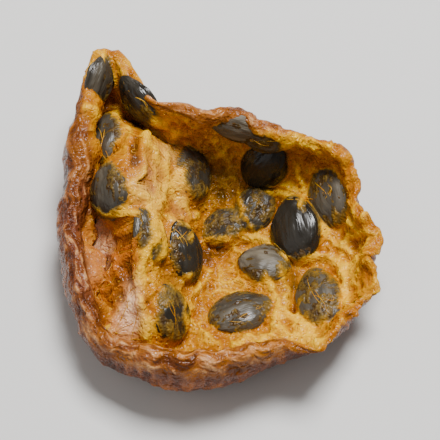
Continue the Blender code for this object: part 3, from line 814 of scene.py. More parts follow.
def from_path(across, up, path):
    """How far each point lies from a path, in the plane that faces the onlooker."""
    nearest = np.full(across.shape, np.inf)
    for start, end in zip(path, path[1:]):
        step = np.subtract(end, start)
        aside, above = across - start[0], up - start[1]
        share = np.clip((aside * step[0] + above * step[1]) / (step @ step), 0.0, 1.0)
        nearest = np.minimum(nearest, np.hypot(aside - share * step[0], above - share * step[1]))
    return nearest


def laid_ridges(rows, normals):
    """The height of the listed ridges and hollows, and how near each point is to a ridge
    and to a hollow."""
    facing = normals[:TOP_ROWS] @ TOWARDS
    points = rows[:TOP_ROWS] / MM
    across = points[..., 0] + RIDGE_WAVER * noise_at(points / WAVER_SIZE + WAVER_ACROSS)
    up = seen_up(points) + RIDGE_WAVER * noise_at(points / WAVER_SIZE + WAVER_UP)
    strength = 1.0 + RIDGE_SWELL * noise_at(points / SWELL_SIZE + SWELL_OFFSET)
    strength = strength * smooth_step(facing / RIDGE_FACING)
    height, nearness, hollow = (np.zeros(rows.shape[:2]) for _ in range(3))
    for ridge in RIDGES:
        away = from_path(across, up, ridge.path)
        near = bell(away, RIDGE_SPREAD * ridge.wide) * strength
        height[:TOP_ROWS] += RIDGE_SHARE * ridge.high * MM * near
        kept = nearness if ridge.high > 0.0 else hollow
        shown = near * min(abs(ridge.high) / RIDGE_FULL, 1.0)
        kept[:TOP_ROWS] = np.maximum(kept[:TOP_ROWS], shown)
    return height, nearness, hollow


def fine_turn():
    """The way from the cup's middle to each column of the fine grid, as x and y."""
    angles = np.arange(FINE_ANGLES) * 2.0 * math.pi / FINE_ANGLES
    return np.stack([np.cos(angles), np.sin(angles)], axis=-1)


def rim_bands():
    """The rim's bands blended round the cup: one value for each column of the fine grid."""
    table = np.array(BANDS)
    degrees = np.arange(FINE_ANGLES) * 360.0 / FINE_ANGLES
    columns = (np.interp(degrees, table[:, 0], column, period=360.0) for column in table[:, 1:].T)
    return Band(degrees, *columns)


def patch_marks(rows, way):
    """How strongly each kind of patch shows at each point of the pulp."""
    marks = {name: np.zeros(way.shape) for name in PATCH_MARKS}
    up = seen_up(rows)
    on_top = smooth_step(0.5 - way / MM)
    for patch in PATCHES:
        aside = (rows[..., 0] / MM - patch.across) / patch.wide
        above = (up / MM - patch.up) / patch.tall
        share = patch.share * np.exp(-(aside**2) - above**2) * on_top
        marks[patch.mark] = np.maximum(marks[patch.mark], share)
    return marks


def relief(rows, normals, sizes):
    """The height of the fine relief at each point, and the marks there. laid, calm and spread are
    for the shape alone, and the material reads the others."""
    way, turn, rim = way_from_rim(rows), fine_turn(), rim_bands()
    edge = summed(EDGE_LAYERS, rows, turn, way)[0]
    past_edge = (way / MM + rim.width - edge) / EDGE_BLEND
    pulp = smooth_step(0.5 - past_edge)
    outer = smooth_step((way / MM - rim.roll - SKIN_RAGGED * edge) / SKIN_BLEND) * (1.0 - pulp)
    band = (1.0 - pulp) * (1.0 - outer)
    marks = patch_marks(rows, way)

    run = np.clip(1.0 + way / PULP_REACH, 0.0, 1.0)[..., None]
    spokes = turn * (HUB + run)
    wall = smooth_step((run[..., 0] - WALL_START) / WALL_WITHIN)
    webs = wall * summed(PULP_THREADS, rows, spokes, way) + summed(PULP_WEBS, rows, turn, way)
    rough = 1.0 - CALM_SHARE * marks["calm"]
    pulp_high, pulp_tone = wall * summed(PULP_STRANDS, rows, spokes, way) + rough * webs
    bumps = summed(PULP_BUMPS, rows, turn, way)[0]
    laid, nearness, hollow = laid_ridges(rows, normals)
    sunk = PULP_SINK * smooth_step((-way / MM - SINK_START) / SINK_WITHIN)
    pulp_height = sizes.pulp_ridges * pulp_high + sizes.pulp_lumps * bumps + laid - sunk

    wander = summed(RIM_WANDER, rows, turn, way)[0] * MM
    rim_high, rim_tone = summed(RIM_WRINKLES, rows, turn, way + wander)
    skin_high, skin_tone = summed(SKIN_FOLDS, rows, turn, way)
    groove = bell(past_edge, GROOVE_WIDTH) * smooth_step(rim.width - GROOVE_FROM)
    tears = summed(RIM_TEARS, rows, turn, way)[0] * rim.ragged * MM * bell(way, TEAR_REACH)
    under_curl = bell(way / MM + rim.width + FILL_MIDDLE, FILL_REACH)
    filled = rim.fill * MM * under_curl * (FILL_LEVEL + FILL_BUMPS * bumps)

    height = pulp_height * pulp + sizes.rim_wrinkles * rim_high * band
    height = height + sizes.skin_folds * skin_high * outer - sizes.groove * groove
    height = height + tears - rim.thin * MM * bell(way, THIN_REACH) + filled
    from_end = np.minimum(np.arange(len(rows)), np.arange(len(rows))[::-1])
    height = height * smooth_step(from_end / END_ROWS)[:, None]

    # The tone over the relief: paler on the crests, partly painted highlight, and painted shade in
    # the hollows and the groove.
    ridge = (pulp_tone + RIDGE_TONE * nearness - HOLLOW_SHADE * hollow) * pulp
    ridge = ridge + rim_tone * band - GROOVE_SHADE * groove + skin_tone * outer
    marks.update(
        pulp=pulp, outer=outer, ridge=ridge, laid=nearness, crease=groove,
        pink=np.broadcast_to(rim.pink, way.shape), film=np.zeros(way.shape),
        spread=rim.out * MM * bell(way, SPREAD_REACH),
    )
    return height, marks


def closed_mesh(name, rows):
    """A closed mesh from rows of points, each row a ring, with a pole at either end."""
    count = rows.shape[1]
    poles = [rows[0].mean(axis=0), rows[-1].mean(axis=0)]
    points = np.concatenate([rows.reshape(-1, 3), poles])
    first_pole, last_pole = len(points) - 2, len(points) - 1
    last_row = (len(rows) - 1) * count
    faces = []
    for i in range(count):
        j = (i + 1) % count
        faces.append((first_pole, i, j))
        faces.append((last_pole, last_row + j, last_row + i))
        for row in range(0, last_row, count):
            faces.append((row + i, row + count + i, row + count + j, row + j))
    mesh = bpy.data.meshes.new(name)
    mesh.from_pydata([tuple(p) for p in points], [], faces)
    mesh.update()
    return mesh


def store(mesh, name, values, kind="FLOAT"):
    """Stores a value at each of the mesh's points."""
    field = "vector" if kind == "FLOAT_VECTOR" else "value"
    mesh.attributes.new(name, kind, "POINT").data.foreach_set(field, values)


def add_marks(mesh, marks):
    """Stores the marks that the material reads. Both poles take their row's mean."""
    for name in FLESH_MARKS:
        grid = marks[name]
        store(mesh, name, np.concatenate([grid.ravel(), [grid[0].mean(), grid[-1].mean()]]))


def add_sheet_place(mesh, rows):
    """Stores where each point lies round the cup and down the sheet, for lines that follow it."""
    place = np.empty(rows.shape)
    place[..., :2] = SHEET_RADIUS * fine_turn()
    place[..., 2] = way_from_rim(rows)
    flat = np.concatenate([place.reshape(-1, 3), place[0, :1], place[-1, :1]])
    store(mesh, "sheet_place", flat.ravel(), "FLOAT_VECTOR")


def feed(made, inputs):
    """Sets a node's inputs to values, or links sockets to them."""
    for key, value in inputs.items():
        if isinstance(value, bpy.types.NodeSocket):
            made.id_data.links.new(value, made.inputs[key])
        else:
            made.inputs[key].default_value = value


def node(tree, kind, inputs=None, **settings):
    """Adds a node, with its settings and then its inputs."""
    made = tree.nodes.new(kind)
    for name, value in settings.items():
        setattr(made, name, value)
    feed(made, inputs or {})
    return made


def maths(tree, operation, *values):
    inputs = dict(enumerate(values))
    return node(tree, "ShaderNodeMath", inputs, operation=operation).outputs[0]


def vector_maths(tree, operation, inputs):
    return node(tree, "ShaderNodeVectorMath", inputs, operation=operation).outputs[0]


def between(tree, value, low, high, start=0.0, end=1.0, kind="LINEAR"):
    """Runs from start to end while the value goes from low to high."""
    inputs = dict(enumerate((value, low, high, start, end)))
    return node(tree, "ShaderNodeMapRange", inputs, interpolation_type=kind).outputs[0]


def cloudy(tree, place, scale, detail=2.0, number=None, distortion=0.0):
    """Noise at a place, another one for each number where a number is given."""
    inputs = {"Vector": place, "Scale": scale, "Detail": detail, "Distortion": distortion}
    if number is None:
        return node(tree, "ShaderNodeTexNoise", inputs).outputs[0]
    inputs["W"] = number
    return node(tree, "ShaderNodeTexNoise", inputs, noise_dimensions="4D").outputs[0]


def blend(tree, factor, first, second, blend_type="MIX"):
    """A mix of two colours, each a socket or a colour."""
    inputs = {0: factor, 6: first, 7: second}
    made = node(tree, "ShaderNodeMix", inputs, data_type="RGBA", blend_type=blend_type)
    return made.outputs[2]


def ramp(tree, value, stops):
    """A colour ramp from pairs of place and colour."""
    made = node(tree, "ShaderNodeValToRGB", {0: value})
    elements = made.color_ramp.elements
    while len(elements) < len(stops):
        elements.new(0.5)
    for element, (place, colour) in zip(elements, stops):
        element.position = place
        element.color = colour
    return made.outputs[0]


def mark(tree, name, output="Fac"):
    return node(tree, "ShaderNodeAttribute", attribute_name=name).outputs[output]


def solid(colour):
    return (*colour, 1.0)


def shaded(colour, share):
    return tuple(channel * share for channel in colour) + (1.0,)


def socket(tree, name, kind, default=None, way="INPUT"):
    made = tree.interface.new_socket(name=name, in_out=way, socket_type="NodeSocket" + kind)
    if default is not None:
        made.default_value = default
    return made


def grain_group():
    """The fine grain of dried fruit, which every material of the fruit uses."""
    group = bpy.data.node_groups.get("dried_grain")
    if group:
        return group
    group = bpy.data.node_groups.new("dried_grain", "ShaderNodeTree")
    socket(group, "Place", "Vector")
    for name in ("Grain size", "Gloss low", "Gloss high"):
        socket(group, name, "Float")
    for name in ("Height", "Shade", "Roughness"):
        socket(group, name, "Float", way="OUTPUT")
    ins = node(group, "NodeGroupInput").outputs
    fine_scale = maths(group, "DIVIDE", 1.0, ins["Grain size"])
    broad_scale = maths(group, "MULTIPLY", fine_scale, 0.28)
    fine = cloudy(group, ins["Place"], fine_scale, 1.0)
    broad = cloudy(group, ins["Place"], broad_scale, distortion=0.6)
    creased = maths(group, "ABSOLUTE", maths(group, "MULTIPLY_ADD", fine, 3.0, -1.5))
    outputs = {
        "Height": maths(group, "MULTIPLY_ADD", broad, 0.9, creased),
        "Shade": maths(group, "MULTIPLY_ADD", broad, 2.4, -1.2),
        "Roughness": between(group, broad, 0.35, 0.65, ins["Gloss low"], ins["Gloss high"]),
    }
    node(group, "NodeGroupOutput", outputs)
    return group


def new_material(name):
    """A new material, its tree with only a shader and an output, and the shader."""
    material = bpy.data.materials.new(name)
    material.use_nodes = True
    tree = material.node_tree
    tree.nodes.clear()
    shader = node(tree, "ShaderNodeBsdfPrincipled")
    node(tree, "ShaderNodeOutputMaterial", {0: shader.outputs[0]})
    return material, tree, shader


def dried_surface(tree, shader, place, *, grain_size, gloss, bump):
    """Feeds the grain's height to the shader, and gives the grain's outputs and its bump."""
    inputs = {
        "Place": place, "Grain size": grain_size, "Gloss low": gloss[0], "Gloss high": gloss[1],
    }
    grain = node(tree, "ShaderNodeGroup", inputs, node_tree=grain_group()).outputs
    raised = node(tree, "ShaderNodeBump", {"Distance": bump, "Height": grain["Height"]})
    feed(shader, {"Normal": raised.outputs[0]})
    return grain, raised


def soften(shader, *, weight, scale):
    """Light that enters the dried pulp and leaves it a little way off."""
    feed(shader, {
        "Subsurface Weight": weight,
        "Subsurface Radius": (1.0, 0.42, 0.12),
        "Subsurface Scale": scale,
    })


def pulp_colour(tree, colours, shade, streaks):
    """The pulp with its painted shade, highlights, patches and seed films, and where it is film."""
    # The level runs from painted shade in the hollows up to the crests, which are partly painted
    # highlight.
    level = maths(tree, "MULTIPLY_ADD", mark(tree, "ridge"), 0.52, 0.42)
    level = maths(tree, "MULTIPLY_ADD", shade, 0.40, level)
    # Painted shade deep in the bowl lowers the level.
    level = maths(tree, "MULTIPLY_ADD", mark(tree, "bowl_shade"), -0.12, level)
    # Yellower places, partly painted highlight, raise the level.
    level = maths(tree, "MULTIPLY_ADD", mark(tree, "yellow_and_highlight"), 0.30, level)
    pulp = ramp(tree, level, (
        (0.08, solid(colours.hollow)),
        (0.38, solid(colours.amber)),
        (0.62, solid(colours.pulp)),
        (0.94, solid(colours.crest)),
    ))
    # Painted shade deep in the bowl and under the back rim, in olive.
    bowl_shade = maths(tree, "MULTIPLY", mark(tree, "bowl_shade"), 0.55)
    pulp = blend(tree, bowl_shade, pulp, solid(colours.shade))
    # The flank's hollows take a painted-shade copy of its colour, and its crests turn pink.
    flank = ramp(tree, level, (
        (0.15, shaded(colours.flank, 0.55)),
        (0.50, solid(colours.flank)),
        (0.92, solid(colours.pink)),
    ))
    pulp = blend(tree, mark(tree, "flank"), pulp, flank)
    # Painted highlight on the glossy pale places, broken by streaks.
    streaked = maths(tree, "MULTIPLY_ADD", maths(tree, "SUBTRACT", streaks, 0.5), 1.6, 1.0)
    highlight_share = maths(tree, "MULTIPLY", maths(tree, "MULTIPLY", mark(tree, "painted_highlight"), streaked), 0.92)
    pulp = blend(tree, highlight_share, pulp, solid(colours.painted_highlight))
    sheer = maths(tree, "MULTIPLY_ADD", shade, 0.10, mark(tree, "film"))
    film = ramp(tree, sheer, (
        (0.30, solid(colours.film_thick)),
        (0.62, solid(colours.film_light)),
        (0.95, solid(colours.film_dark)),
    ))
    filmed = between(tree, sheer, 0.12, 0.50, 0.0, 0.92)
    return blend(tree, filmed, pulp, film), filmed


def bare_colour(tree, colours, shade, lines):
    """The rolled rim and the outer skin, both with painted shade in their wrinkles and crests that
    are lighter, partly painted highlight.
    """
    blush = maths(tree, "MULTIPLY_ADD", shade, 0.45, mark(tree, "pink"))
    rim = blend(tree, between(tree, blush, 0.0, 1.0), solid(colours.tan), solid(colours.pink))
    # The level is low in the wrinkles and in the grooves of the bump's lines, and high on their
    # crests.
    level = maths(tree, "MULTIPLY_ADD", mark(tree, "ridge"), 0.45, 0.42)
    level = maths(tree, "MULTIPLY_ADD", shade, 0.20, level)
    level = maths(tree, "ADD", level, maths(tree, "MULTIPLY_ADD", lines, 1.5, -0.75))
    # Painted shade in the rim's wrinkles, and on its crests a paler tone that is partly painted
    # highlight.
    rim_dark = blend(tree, 1.0, rim, RIM_SHADE, "MULTIPLY")
    rim = blend(tree, between(tree, level, 0.15, 0.62), rim_dark, rim)
    rim = blend(tree, between(tree, level, 0.58, 0.95, 0.0, 0.6), rim, solid(colours.rim_crest_and_highlight))
    # The skin's fold valleys take a painted-shade copy of the skin, and its crests a lighter one
    # that is partly painted highlight.
    skin = ramp(tree, level, (
        (0.10, shaded(colours.skin, 0.45)),
        (0.50, solid(colours.skin)),
        (0.90, solid(colours.skin_crest_and_highlight)),
    ))
    return blend(tree, mark(tree, "outer"), rim, skin)


def flesh_material(colours):
    """Pulp, rim and skin in one, parted by the marks at the mesh's points."""
    material, tree, shader = new_material("dried_flesh")
    place = node(tree, "ShaderNodeTexCoord").outputs["Object"]
    grain, raised = dried_surface(
        tree, shader, place, grain_size=0.00060, gloss=(0.18, 0.36), bump=0.00014
    )
    on_sheet = mark(tree, "sheet_place", "Vector")
    streaks = cloudy(tree, on_sheet, STREAK_SCALE)
    down = node(tree, "ShaderNodeMapping", {"Vector": on_sheet, "Scale": PLEAT_STRETCH})
    pleats = cloudy(tree, down.outputs[0], PLEAT_SCALE)
    lines = blend(tree, mark(tree, "outer"), streaks, pleats)
    bare_share = maths(tree, "SUBTRACT", 1.0, mark(tree, "pulp"))
    lined = {"Strength": bare_share, "Distance": 0.0004, "Height": lines}
    feed(raised, {"Normal": node(tree, "ShaderNodeBump", lined).outputs[0]})

    shade = grain["Shade"]
    pulp, filmed = pulp_colour(tree, colours, shade, streaks)
    bare = bare_colour(tree, colours, shade, lines)
    colour = blend(tree, mark(tree, "pulp"), bare, pulp)
    # Painted shade in the crease between the rim and the pulp.
    creased = maths(tree, "MULTIPLY_ADD", shade, 0.25, mark(tree, "crease"))
    creased = between(tree, creased, 0.15, 0.65, 0.0, 0.85)
    polish = maths(tree, "MULTIPLY_ADD", mark(tree, "outer"), -0.35, 1.0)
    polish = maths(tree, "MULTIPLY_ADD", filmed, 0.55, polish)
    feed(shader, {
        "Base Color": blend(tree, creased, colour, solid(colours.crease)),
        "Roughness": maths(tree, "MULTIPLY", grain["Roughness"], polish),
        "Specular IOR Level": 0.23,
    })
    soften(shader, weight=0.14, scale=0.0009)
    return material


def seed_material(colours):
    """Hard black seed coats, some of them dulled to grey by a dried film."""
    material, tree, shader = new_material("seed_coat")
    own = mark(tree, "seed_place", "Vector")
    long_way = node(tree, "ShaderNodeMapping", {"Vector": own, "Scale": SEED_STRETCH}).outputs[0]
    aside = maths(tree, "MULTIPLY", mark(tree, "number"), SEED_STEP)
    shift = node(tree, "ShaderNodeCombineXYZ", {0: aside}).outputs[0]
    place = vector_maths(tree, "ADD", {0: long_way, 1: shift})
    grain, _ = dried_surface(
        tree, shader, place, grain_size=0.0009, gloss=(0.18, 0.40), bump=0.00004
    )
    lines = maths(tree, "MULTIPLY_ADD", grain["Shade"], 0.42, 0.48)
    black = ramp(tree, lines, (
        (0.15, shaded(colours.black, 0.5)),
        (0.75, solid(colours.black)),
        (1.0, solid(colours.brown)),
    ))
    grey = ramp(tree, lines, (
        (0.10, solid(colours.black)),
        (0.48, solid(colours.grey)),
        (0.95, solid(colours.dust)),
    ))
    feed(shader, {
        "Base Color": blend(tree, mark(tree, "grey"), black, grey),
        "Roughness": maths(tree, "MULTIPLY_ADD", mark(tree, "grey"), 0.20, grain["Roughness"]),
        "Specular IOR Level": 0.42,
    })
    return material


def strand_material(colours, name):
    """Dried threads and crumbs of pulp, in the pulp's own colours."""
    material, tree, shader = new_material(name)
    place = node(tree, "ShaderNodeTexCoord").outputs["Object"]
    grain, _ = dried_surface(
        tree, shader, place, grain_size=0.00030, gloss=(0.22, 0.40), bump=0.00004
    )
    level = maths(tree, "MULTIPLY_ADD", grain["Shade"], 0.45, 0.5)
    colour = ramp(tree, level, (
        (0.1, solid(colours.amber)),
        (0.5, solid(colours.pulp)),
        (0.9, solid(colours.crest)),
    ))
    feed(shader, {"Base Color": colour, "Roughness": grain["Roughness"]})
    soften(shader, weight=0.25, scale=0.0006)
    return material


def colour_property(name, description, default):
    return FloatVectorProperty(
        name=name, description=description, default=default, size=3, min=0, max=1, subtype="COLOR"
    )


def length_property(name, description, default):
    return FloatProperty(
        name=name, description=description, default=default, min=0, precision=6,
        subtype="DISTANCE", unit="LENGTH",
    )


def power_property(name, description, default):
    return FloatProperty(name=name, description=description, default=default, unit="POWER")


class FleshSizes(bpy.types.PropertyGroup):
    """Depths of the relief on the sheet of fruit."""

    pulp_ridges: length_property("Pulp ridges", "Height of the dried ridges on the pulp", 0.00042)
    pulp_lumps: length_property("Pulp lumps", "Height of the pulp's broad lumps", 0.00032)
    rim_wrinkles: length_property("Rim wrinkles", "Depth of the wrinkles along the rim", 0.00020)
    groove: length_property("Groove", "Depth of the crease between the rim and the pulp", 0.00075)
    skin_folds: length_property("Skin folds", "Depth of the long folds on the outer skin", 0.00028)
    film: length_property("Film", "Unevenness of the film that covers the seeds", 0.00016)


class FleshColours(bpy.types.PropertyGroup):
    """Colours of the pulp, the rim and the skin."""

    # Hollows, amber, pulp and crests run from dark to light over the relief: the dark end is
    # painted shade in the hollows and the light end is partly painted highlight.
    hollow: colour_property("Hollows", "Pulp in the hollows", (0.140, 0.042, 0.003))
    amber: colour_property("Amber", "Dense pulp", (0.41, 0.125, 0.0005))
    pulp: colour_property("Pulp", "Plain pulp", (0.56, 0.225, 0.0005))
    crest: colour_property("Crests", "Pulp dried on the ridges", (0.90, 0.48, 0.006))
    # Painted highlight on glossy pale places.
    painted_highlight: colour_property("Pale", "Pale glossy places", (0.98, 0.58, 0.33))
    flank: colour_property("Flank", "Red-brown pulp of the side wing", (0.53, 0.135, 0.005))
    # Painted shade deep in the bowl and under the back rim.
    shade: colour_property("Shade", "Olive pulp deep in the bowl", (0.20, 0.118, 0.010))
    film_thick: colour_property("Thick film", "Film over a seed, thick", (0.29, 0.140, 0.003))
    film_dark: colour_property("Thin film", "Film over a seed, thin", (0.028, 0.022, 0.011))
    film_light: colour_property("Film", "Film over a seed, middling thick", (0.125, 0.085, 0.020))
    tan: colour_property("Tan rim", "Rolled rim at the front", (0.50, 0.170, 0.010))
    # Painted shade in the crease between the rim and the pulp.
    crease: colour_property("Crease", "Crease between the rim and the pulp", (0.10, 0.022, 0.001))
    # The rim's crests: paler from drying and partly painted highlight.
    rim_crest_and_highlight: colour_property("Light rim", "Crests of the rim", (0.86, 0.46, 0.19))
    pink: colour_property("Pink rim", "Rim at the side and the back", (0.20, 0.052, 0.018))
    skin: colour_property("Skin", "Outer skin", (0.150, 0.032, 0.004))
    # Lighter skin on the folds' crests, partly painted highlight.
    skin_crest_and_highlight: colour_property("Light skin", "Outer skin on its folds", (0.37, 0.105, 0.012))


class SeedLook(bpy.types.PropertyGroup):
    """Shape and colours of the seeds."""

    ribs: length_property("Ribs", "Height of the ribs along a seed", 0.00016)
    pits: length_property("Pits", "Depth of the pits in a seed", 0.00010)
    shrink: length_property("Shrinkage", "Unevenness of a seed's outline", 0.00016)
    pit_size: length_property("Pit size", "Spacing of the pits", 0.00065)
    detail: IntProperty(
        name="Detail", description="Subdivisions of a seed", default=5, min=2, max=6
    )
    black: colour_property("Black", "Bare seed coat", (0.016, 0.013, 0.009))
    brown: colour_property("Brown", "Seed coat on its ribs", (0.060, 0.042, 0.022))
    grey: colour_property("Grey", "Seed coat under a dull film", (0.110, 0.090, 0.062))
    dust: colour_property("Dust", "Dull film on a seed's ribs", (0.29, 0.24, 0.16))


class StrandLook(bpy.types.PropertyGroup):
    """Number and size of the dried strands and crumbs."""

    count: IntProperty(
        name="Strands", description="Number of scattered strands", default=150, min=0
    )
    thickness: length_property("Strand radius", "Radius of a strand at its middle", 0.000042)
    crumb: length_property("Crumb size", "Radius of the largest crumbs", 0.00016)
    crumb_density: FloatProperty(
        name="Crumb density", description="Crumbs on a square metre", default=500000.0, min=0
    )


class StageLook(bpy.types.PropertyGroup):
    """Floor, light and camera."""

    floor: colour_property("Floor", "Colour of the floor", (0.80, 0.79, 0.77))
    key: power_property("Key light", "Power of the main light", 1.72)
    fill: power_property("Fill light", "Power of the fill light", 0.22)
    sky: FloatProperty(name="Sky", description="Strength of the even light all round", default=0.19)
    lens: FloatProperty(name="Lens", description="Focal length in mm", default=150.0)
    distance: length_property("Distance", "From the camera to the fruit", 0.192)


def placed(name, data):
    """A new object in the scene that holds the data."""
    made = bpy.data.objects.new(name, data)
    bpy.context.scene.collection.objects.link(made)
    return made


def add_piece(name, mesh, material):
    """An object in the fruit's place, which rides on the root body."""
    old = bpy.data.objects.get(name)
    if old:
        bpy.data.objects.remove(old)
    mesh.materials.clear()
    mesh.materials.append(material)
    mesh.shade_smooth()
    piece = placed(name, mesh)
    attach(piece, "root")
    return piece


def grown(source, name, tree, values):
    """The mesh that a geometry tree makes from the source mesh, with its inputs set."""
    carrier = placed(name + "_carrier", source)
    modifier = carrier.modifiers.new(name, "NODES")
    modifier.node_group = tree
    inputs = {i.name: i.identifier for i in tree.interface.items_tree if i.in_out == "INPUT"}
    for key, value in values.items():
        modifier[inputs[key]] = value
    graph = bpy.context.evaluated_depsgraph_get()
    mesh = bpy.data.meshes.new_from_object(carrier.evaluated_get(graph))
    mesh.name = name
    bpy.data.objects.remove(carrier)
    if not mesh.polygons:
        raise RuntimeError(f"the tree of {name} made no faces")
    return mesh


def new_geometry_tree(name):
    old = bpy.data.node_groups.get(name)
    if old:
        bpy.data.node_groups.remove(old)
    tree = bpy.data.node_groups.new(name, "GeometryNodeTree")
    socket(tree, "Geometry", "Geometry")
    socket(tree, "Geometry", "Geometry", way="OUTPUT")
    return tree


def finish_tree(tree, geometry, material):
    """Ends a tree by realising its instances and setting the material."""
    real = node(tree, "GeometryNodeRealizeInstances", {0: geometry}).outputs[0]
    painted = node(tree, "GeometryNodeSetMaterial", {0: real, "Material": material}).outputs[0]
    node(tree, "NodeGroupOutput", {0: painted})


def stored(tree, name, kind="FLOAT"):
    """The value of that name at the mesh's points."""
    return node(tree, "GeometryNodeInputNamedAttribute", {0: name}, data_type=kind).outputs[0]


def position(tree):
    return node(tree, "GeometryNodeInputPosition").outputs[0]


def pushed_out(tree, geometry, away):
    """The geometry with its points moved along their normals."""
    normal = node(tree, "GeometryNodeInputNormal").outputs[0]
    offset = vector_maths(tree, "SCALE", {0: normal, "Scale": away})
    inputs = {"Geometry": geometry, "Offset": offset}
    return node(tree, "GeometryNodeSetPosition", inputs).outputs[0]


def seed_ball(tree, ins):
    """A ball with one end pointed and its back flattened, which holds its own places."""
    ball = node(tree, "GeometryNodeMeshIcoSphere", {"Subdivisions": ins["Detail"]}).outputs[0]
    axes = node(tree, "ShaderNodeSeparateXYZ", {0: position(tree)}).outputs
    pointed = between(tree, axes[0], 0.0, 1.0, kind="SMOOTHSTEP")
    taper = maths(tree, "SUBTRACT", 1.0, maths(tree, "MULTIPLY", pointed, ins["Point"]))
    side = maths(tree, "MULTIPLY", axes[1], taper)
    rise = maths(tree, "MULTIPLY", axes[2], taper)
    rise = maths(tree, "MAXIMUM", rise, maths(tree, "MULTIPLY", rise, SEED_BACK))
    shape = node(tree, "ShaderNodeCombineXYZ", {0: axes[0], 1: side, 2: rise}).outputs[0]
    oval = node(tree, "GeometryNodeSetPosition", {"Geometry": ball, "Position": shape}).outputs[0]
    return node(
        tree, "GeometryNodeStoreNamedAttribute",
        {"Geometry": oval, "Name": "seed_place", "Value": position(tree)},
        data_type="FLOAT_VECTOR", domain="POINT",
    ).outputs[0]


def seeds_tree():
    """Grows a seed on each point, turned and sized by the point, and then ribbed and pitted."""
    tree = new_geometry_tree("seeds_on_pulp")
    socket(tree, "Detail", "Int")
    socket(tree, "Point", "Float", SEED_POINT)
    for name in ("Ribs", "Pits", "Shrinkage", "Pit size"):
        socket(tree, name, "Float")
    socket(tree, "Material", "Material")
    ins = node(tree, "NodeGroupInput").outputs
    laid = node(
        tree, "GeometryNodeInstanceOnPoints",
        {
            "Points": ins["Geometry"], "Instance": seed_ball(tree, ins),
            "Rotation": stored(tree, "turn", "QUATERNION"),
            "Scale": stored(tree, "size", "FLOAT_VECTOR"),
        },
    ).outputs[0]
    real = node(tree, "GeometryNodeRealizeInstances", {0: laid}).outputs[0]
    own = stored(tree, "seed_place", "FLOAT_VECTOR")
    number = stored(tree, "number")
    long_way = vector_maths(tree, "MULTIPLY", {0: own, 1: RIB_STRETCH})
    ribs = cloudy(tree, long_way, 1.3, number=number)
    dents = cloudy(tree, own, 1.5, 1.0, number=number)
    pit_scale = maths(tree, "DIVIDE", 1.0, ins["Pit size"])
    pit_inputs = {"Vector": position(tree), "Scale": pit_scale}
    pits = node(tree, "ShaderNodeTexVoronoi", pit_inputs, feature="SMOOTH_F1").outputs[0]
    rib = maths(tree, "MULTIPLY", maths(tree, "MULTIPLY_ADD", ribs, 2.0, -1.0), ins["Ribs"])
    dent = maths(tree, "MULTIPLY_ADD", dents, 2.0, -1.0)
    dent = maths(tree, "MULTIPLY", dent, ins["Shrinkage"])
    pit = maths(tree, "MULTIPLY", maths(tree, "SUBTRACT", pits, 0.4), ins["Pits"])
    away = maths(tree, "ADD", maths(tree, "ADD", rib, dent), pit)
    finish_tree(tree, pushed_out(tree, real, away), ins["Material"])
    return tree


def seed_points():
    """A mesh with one point for each seed, which holds its turn, size, number and greyness."""
    places = seed_places()
    shift = settle_shift()
    mesh = bpy.data.meshes.new("seed_points")
    mesh.from_pydata([tuple(np.array(p.translation) + shift) for p in places], [], [])
    sizes = []
    for seed in SEEDS:
        half_length, half_width = half_sizes(seed)
        sizes += [half_length, half_width, half_width * SEED_THICKNESS]
    store(mesh, "turn", [value for p in places for value in p.to_quaternion()], "QUATERNION")
    store(mesh, "size", sizes, "FLOAT_VECTOR")
    store(mesh, "number", [float(number) for number in range(len(SEEDS))])
    store(mesh, "grey", [seed.grey for seed in SEEDS])
    return mesh


def strands_tree():
    """Sweeps a thin round profile along each path, with the radius that its points hold."""
    tree = new_geometry_tree("strands_on_paths")
    socket(tree, "Radius", "Float")
    socket(tree, "Sides", "Int")
    socket(tree, "Material", "Material")
    ins = node(tree, "NodeGroupInput").outputs
    paths = node(tree, "GeometryNodeMeshToCurve", {0: ins["Geometry"]}).outputs[0]
    radius = maths(tree, "MULTIPLY", stored(tree, "thick"), ins["Radius"])
    ring_inputs = {"Resolution": ins["Sides"], "Radius": 1.0}
    ring = node(tree, "GeometryNodeCurvePrimitiveCircle", ring_inputs).outputs[0]
    swept = node(
        tree, "GeometryNodeCurveToMesh",
        {"Curve": paths, "Profile Curve": ring, "Scale": radius, "Fill Caps": True},
    ).outputs[0]
    finish_tree(tree, swept, ins["Material"])
    return tree


def flesh_grid():
    """The finished flesh's points on the pulp's side, their normals and their pulp mark."""
    mesh = bpy.data.objects["flesh"].data
    count = TOP_ROWS * FINE_ANGLES
    flat = np.empty(len(mesh.vertices) * 3, np.float32)
    mesh.vertices.foreach_get("co", flat)
    points = flat.reshape(-1, 3)[:count].reshape(TOP_ROWS, FINE_ANGLES, 3).astype(float)
    marks = np.empty(len(mesh.vertices), np.float32)
    mesh.attributes["pulp"].data.foreach_get("value", marks)
    return points, normals_of(points), marks[:count].reshape(TOP_ROWS, FINE_ANGLES)


def onto_seeds(path):
    """The path with each point that lies inside a seed raised to the seed's surface."""
    shift = settle_shift()
    for seed, place in zip(SEEDS, seed_places()):
        local, out, surface = seed_shell(seed, place, path - shift)
        inside = (out < 1.0) & (np.abs(local[:, 2]) < surface)
        lift = np.where(inside, surface - local[:, 2], 0.0)
        path = path + np.array(place.to_3x3())[:, 2] * lift[:, None]
    return path


def crosses_seed(path):
    """Whether any point of the path lies over a seed."""
    shift = settle_shift()
    for seed, place in zip(SEEDS, seed_places()):
        local, out, _ = seed_shell(seed, place, path - shift)
        if ((out < 1.0) & (np.abs(local[:, 2]) < SEED_CLEARANCE)).any():
            return True
    return False


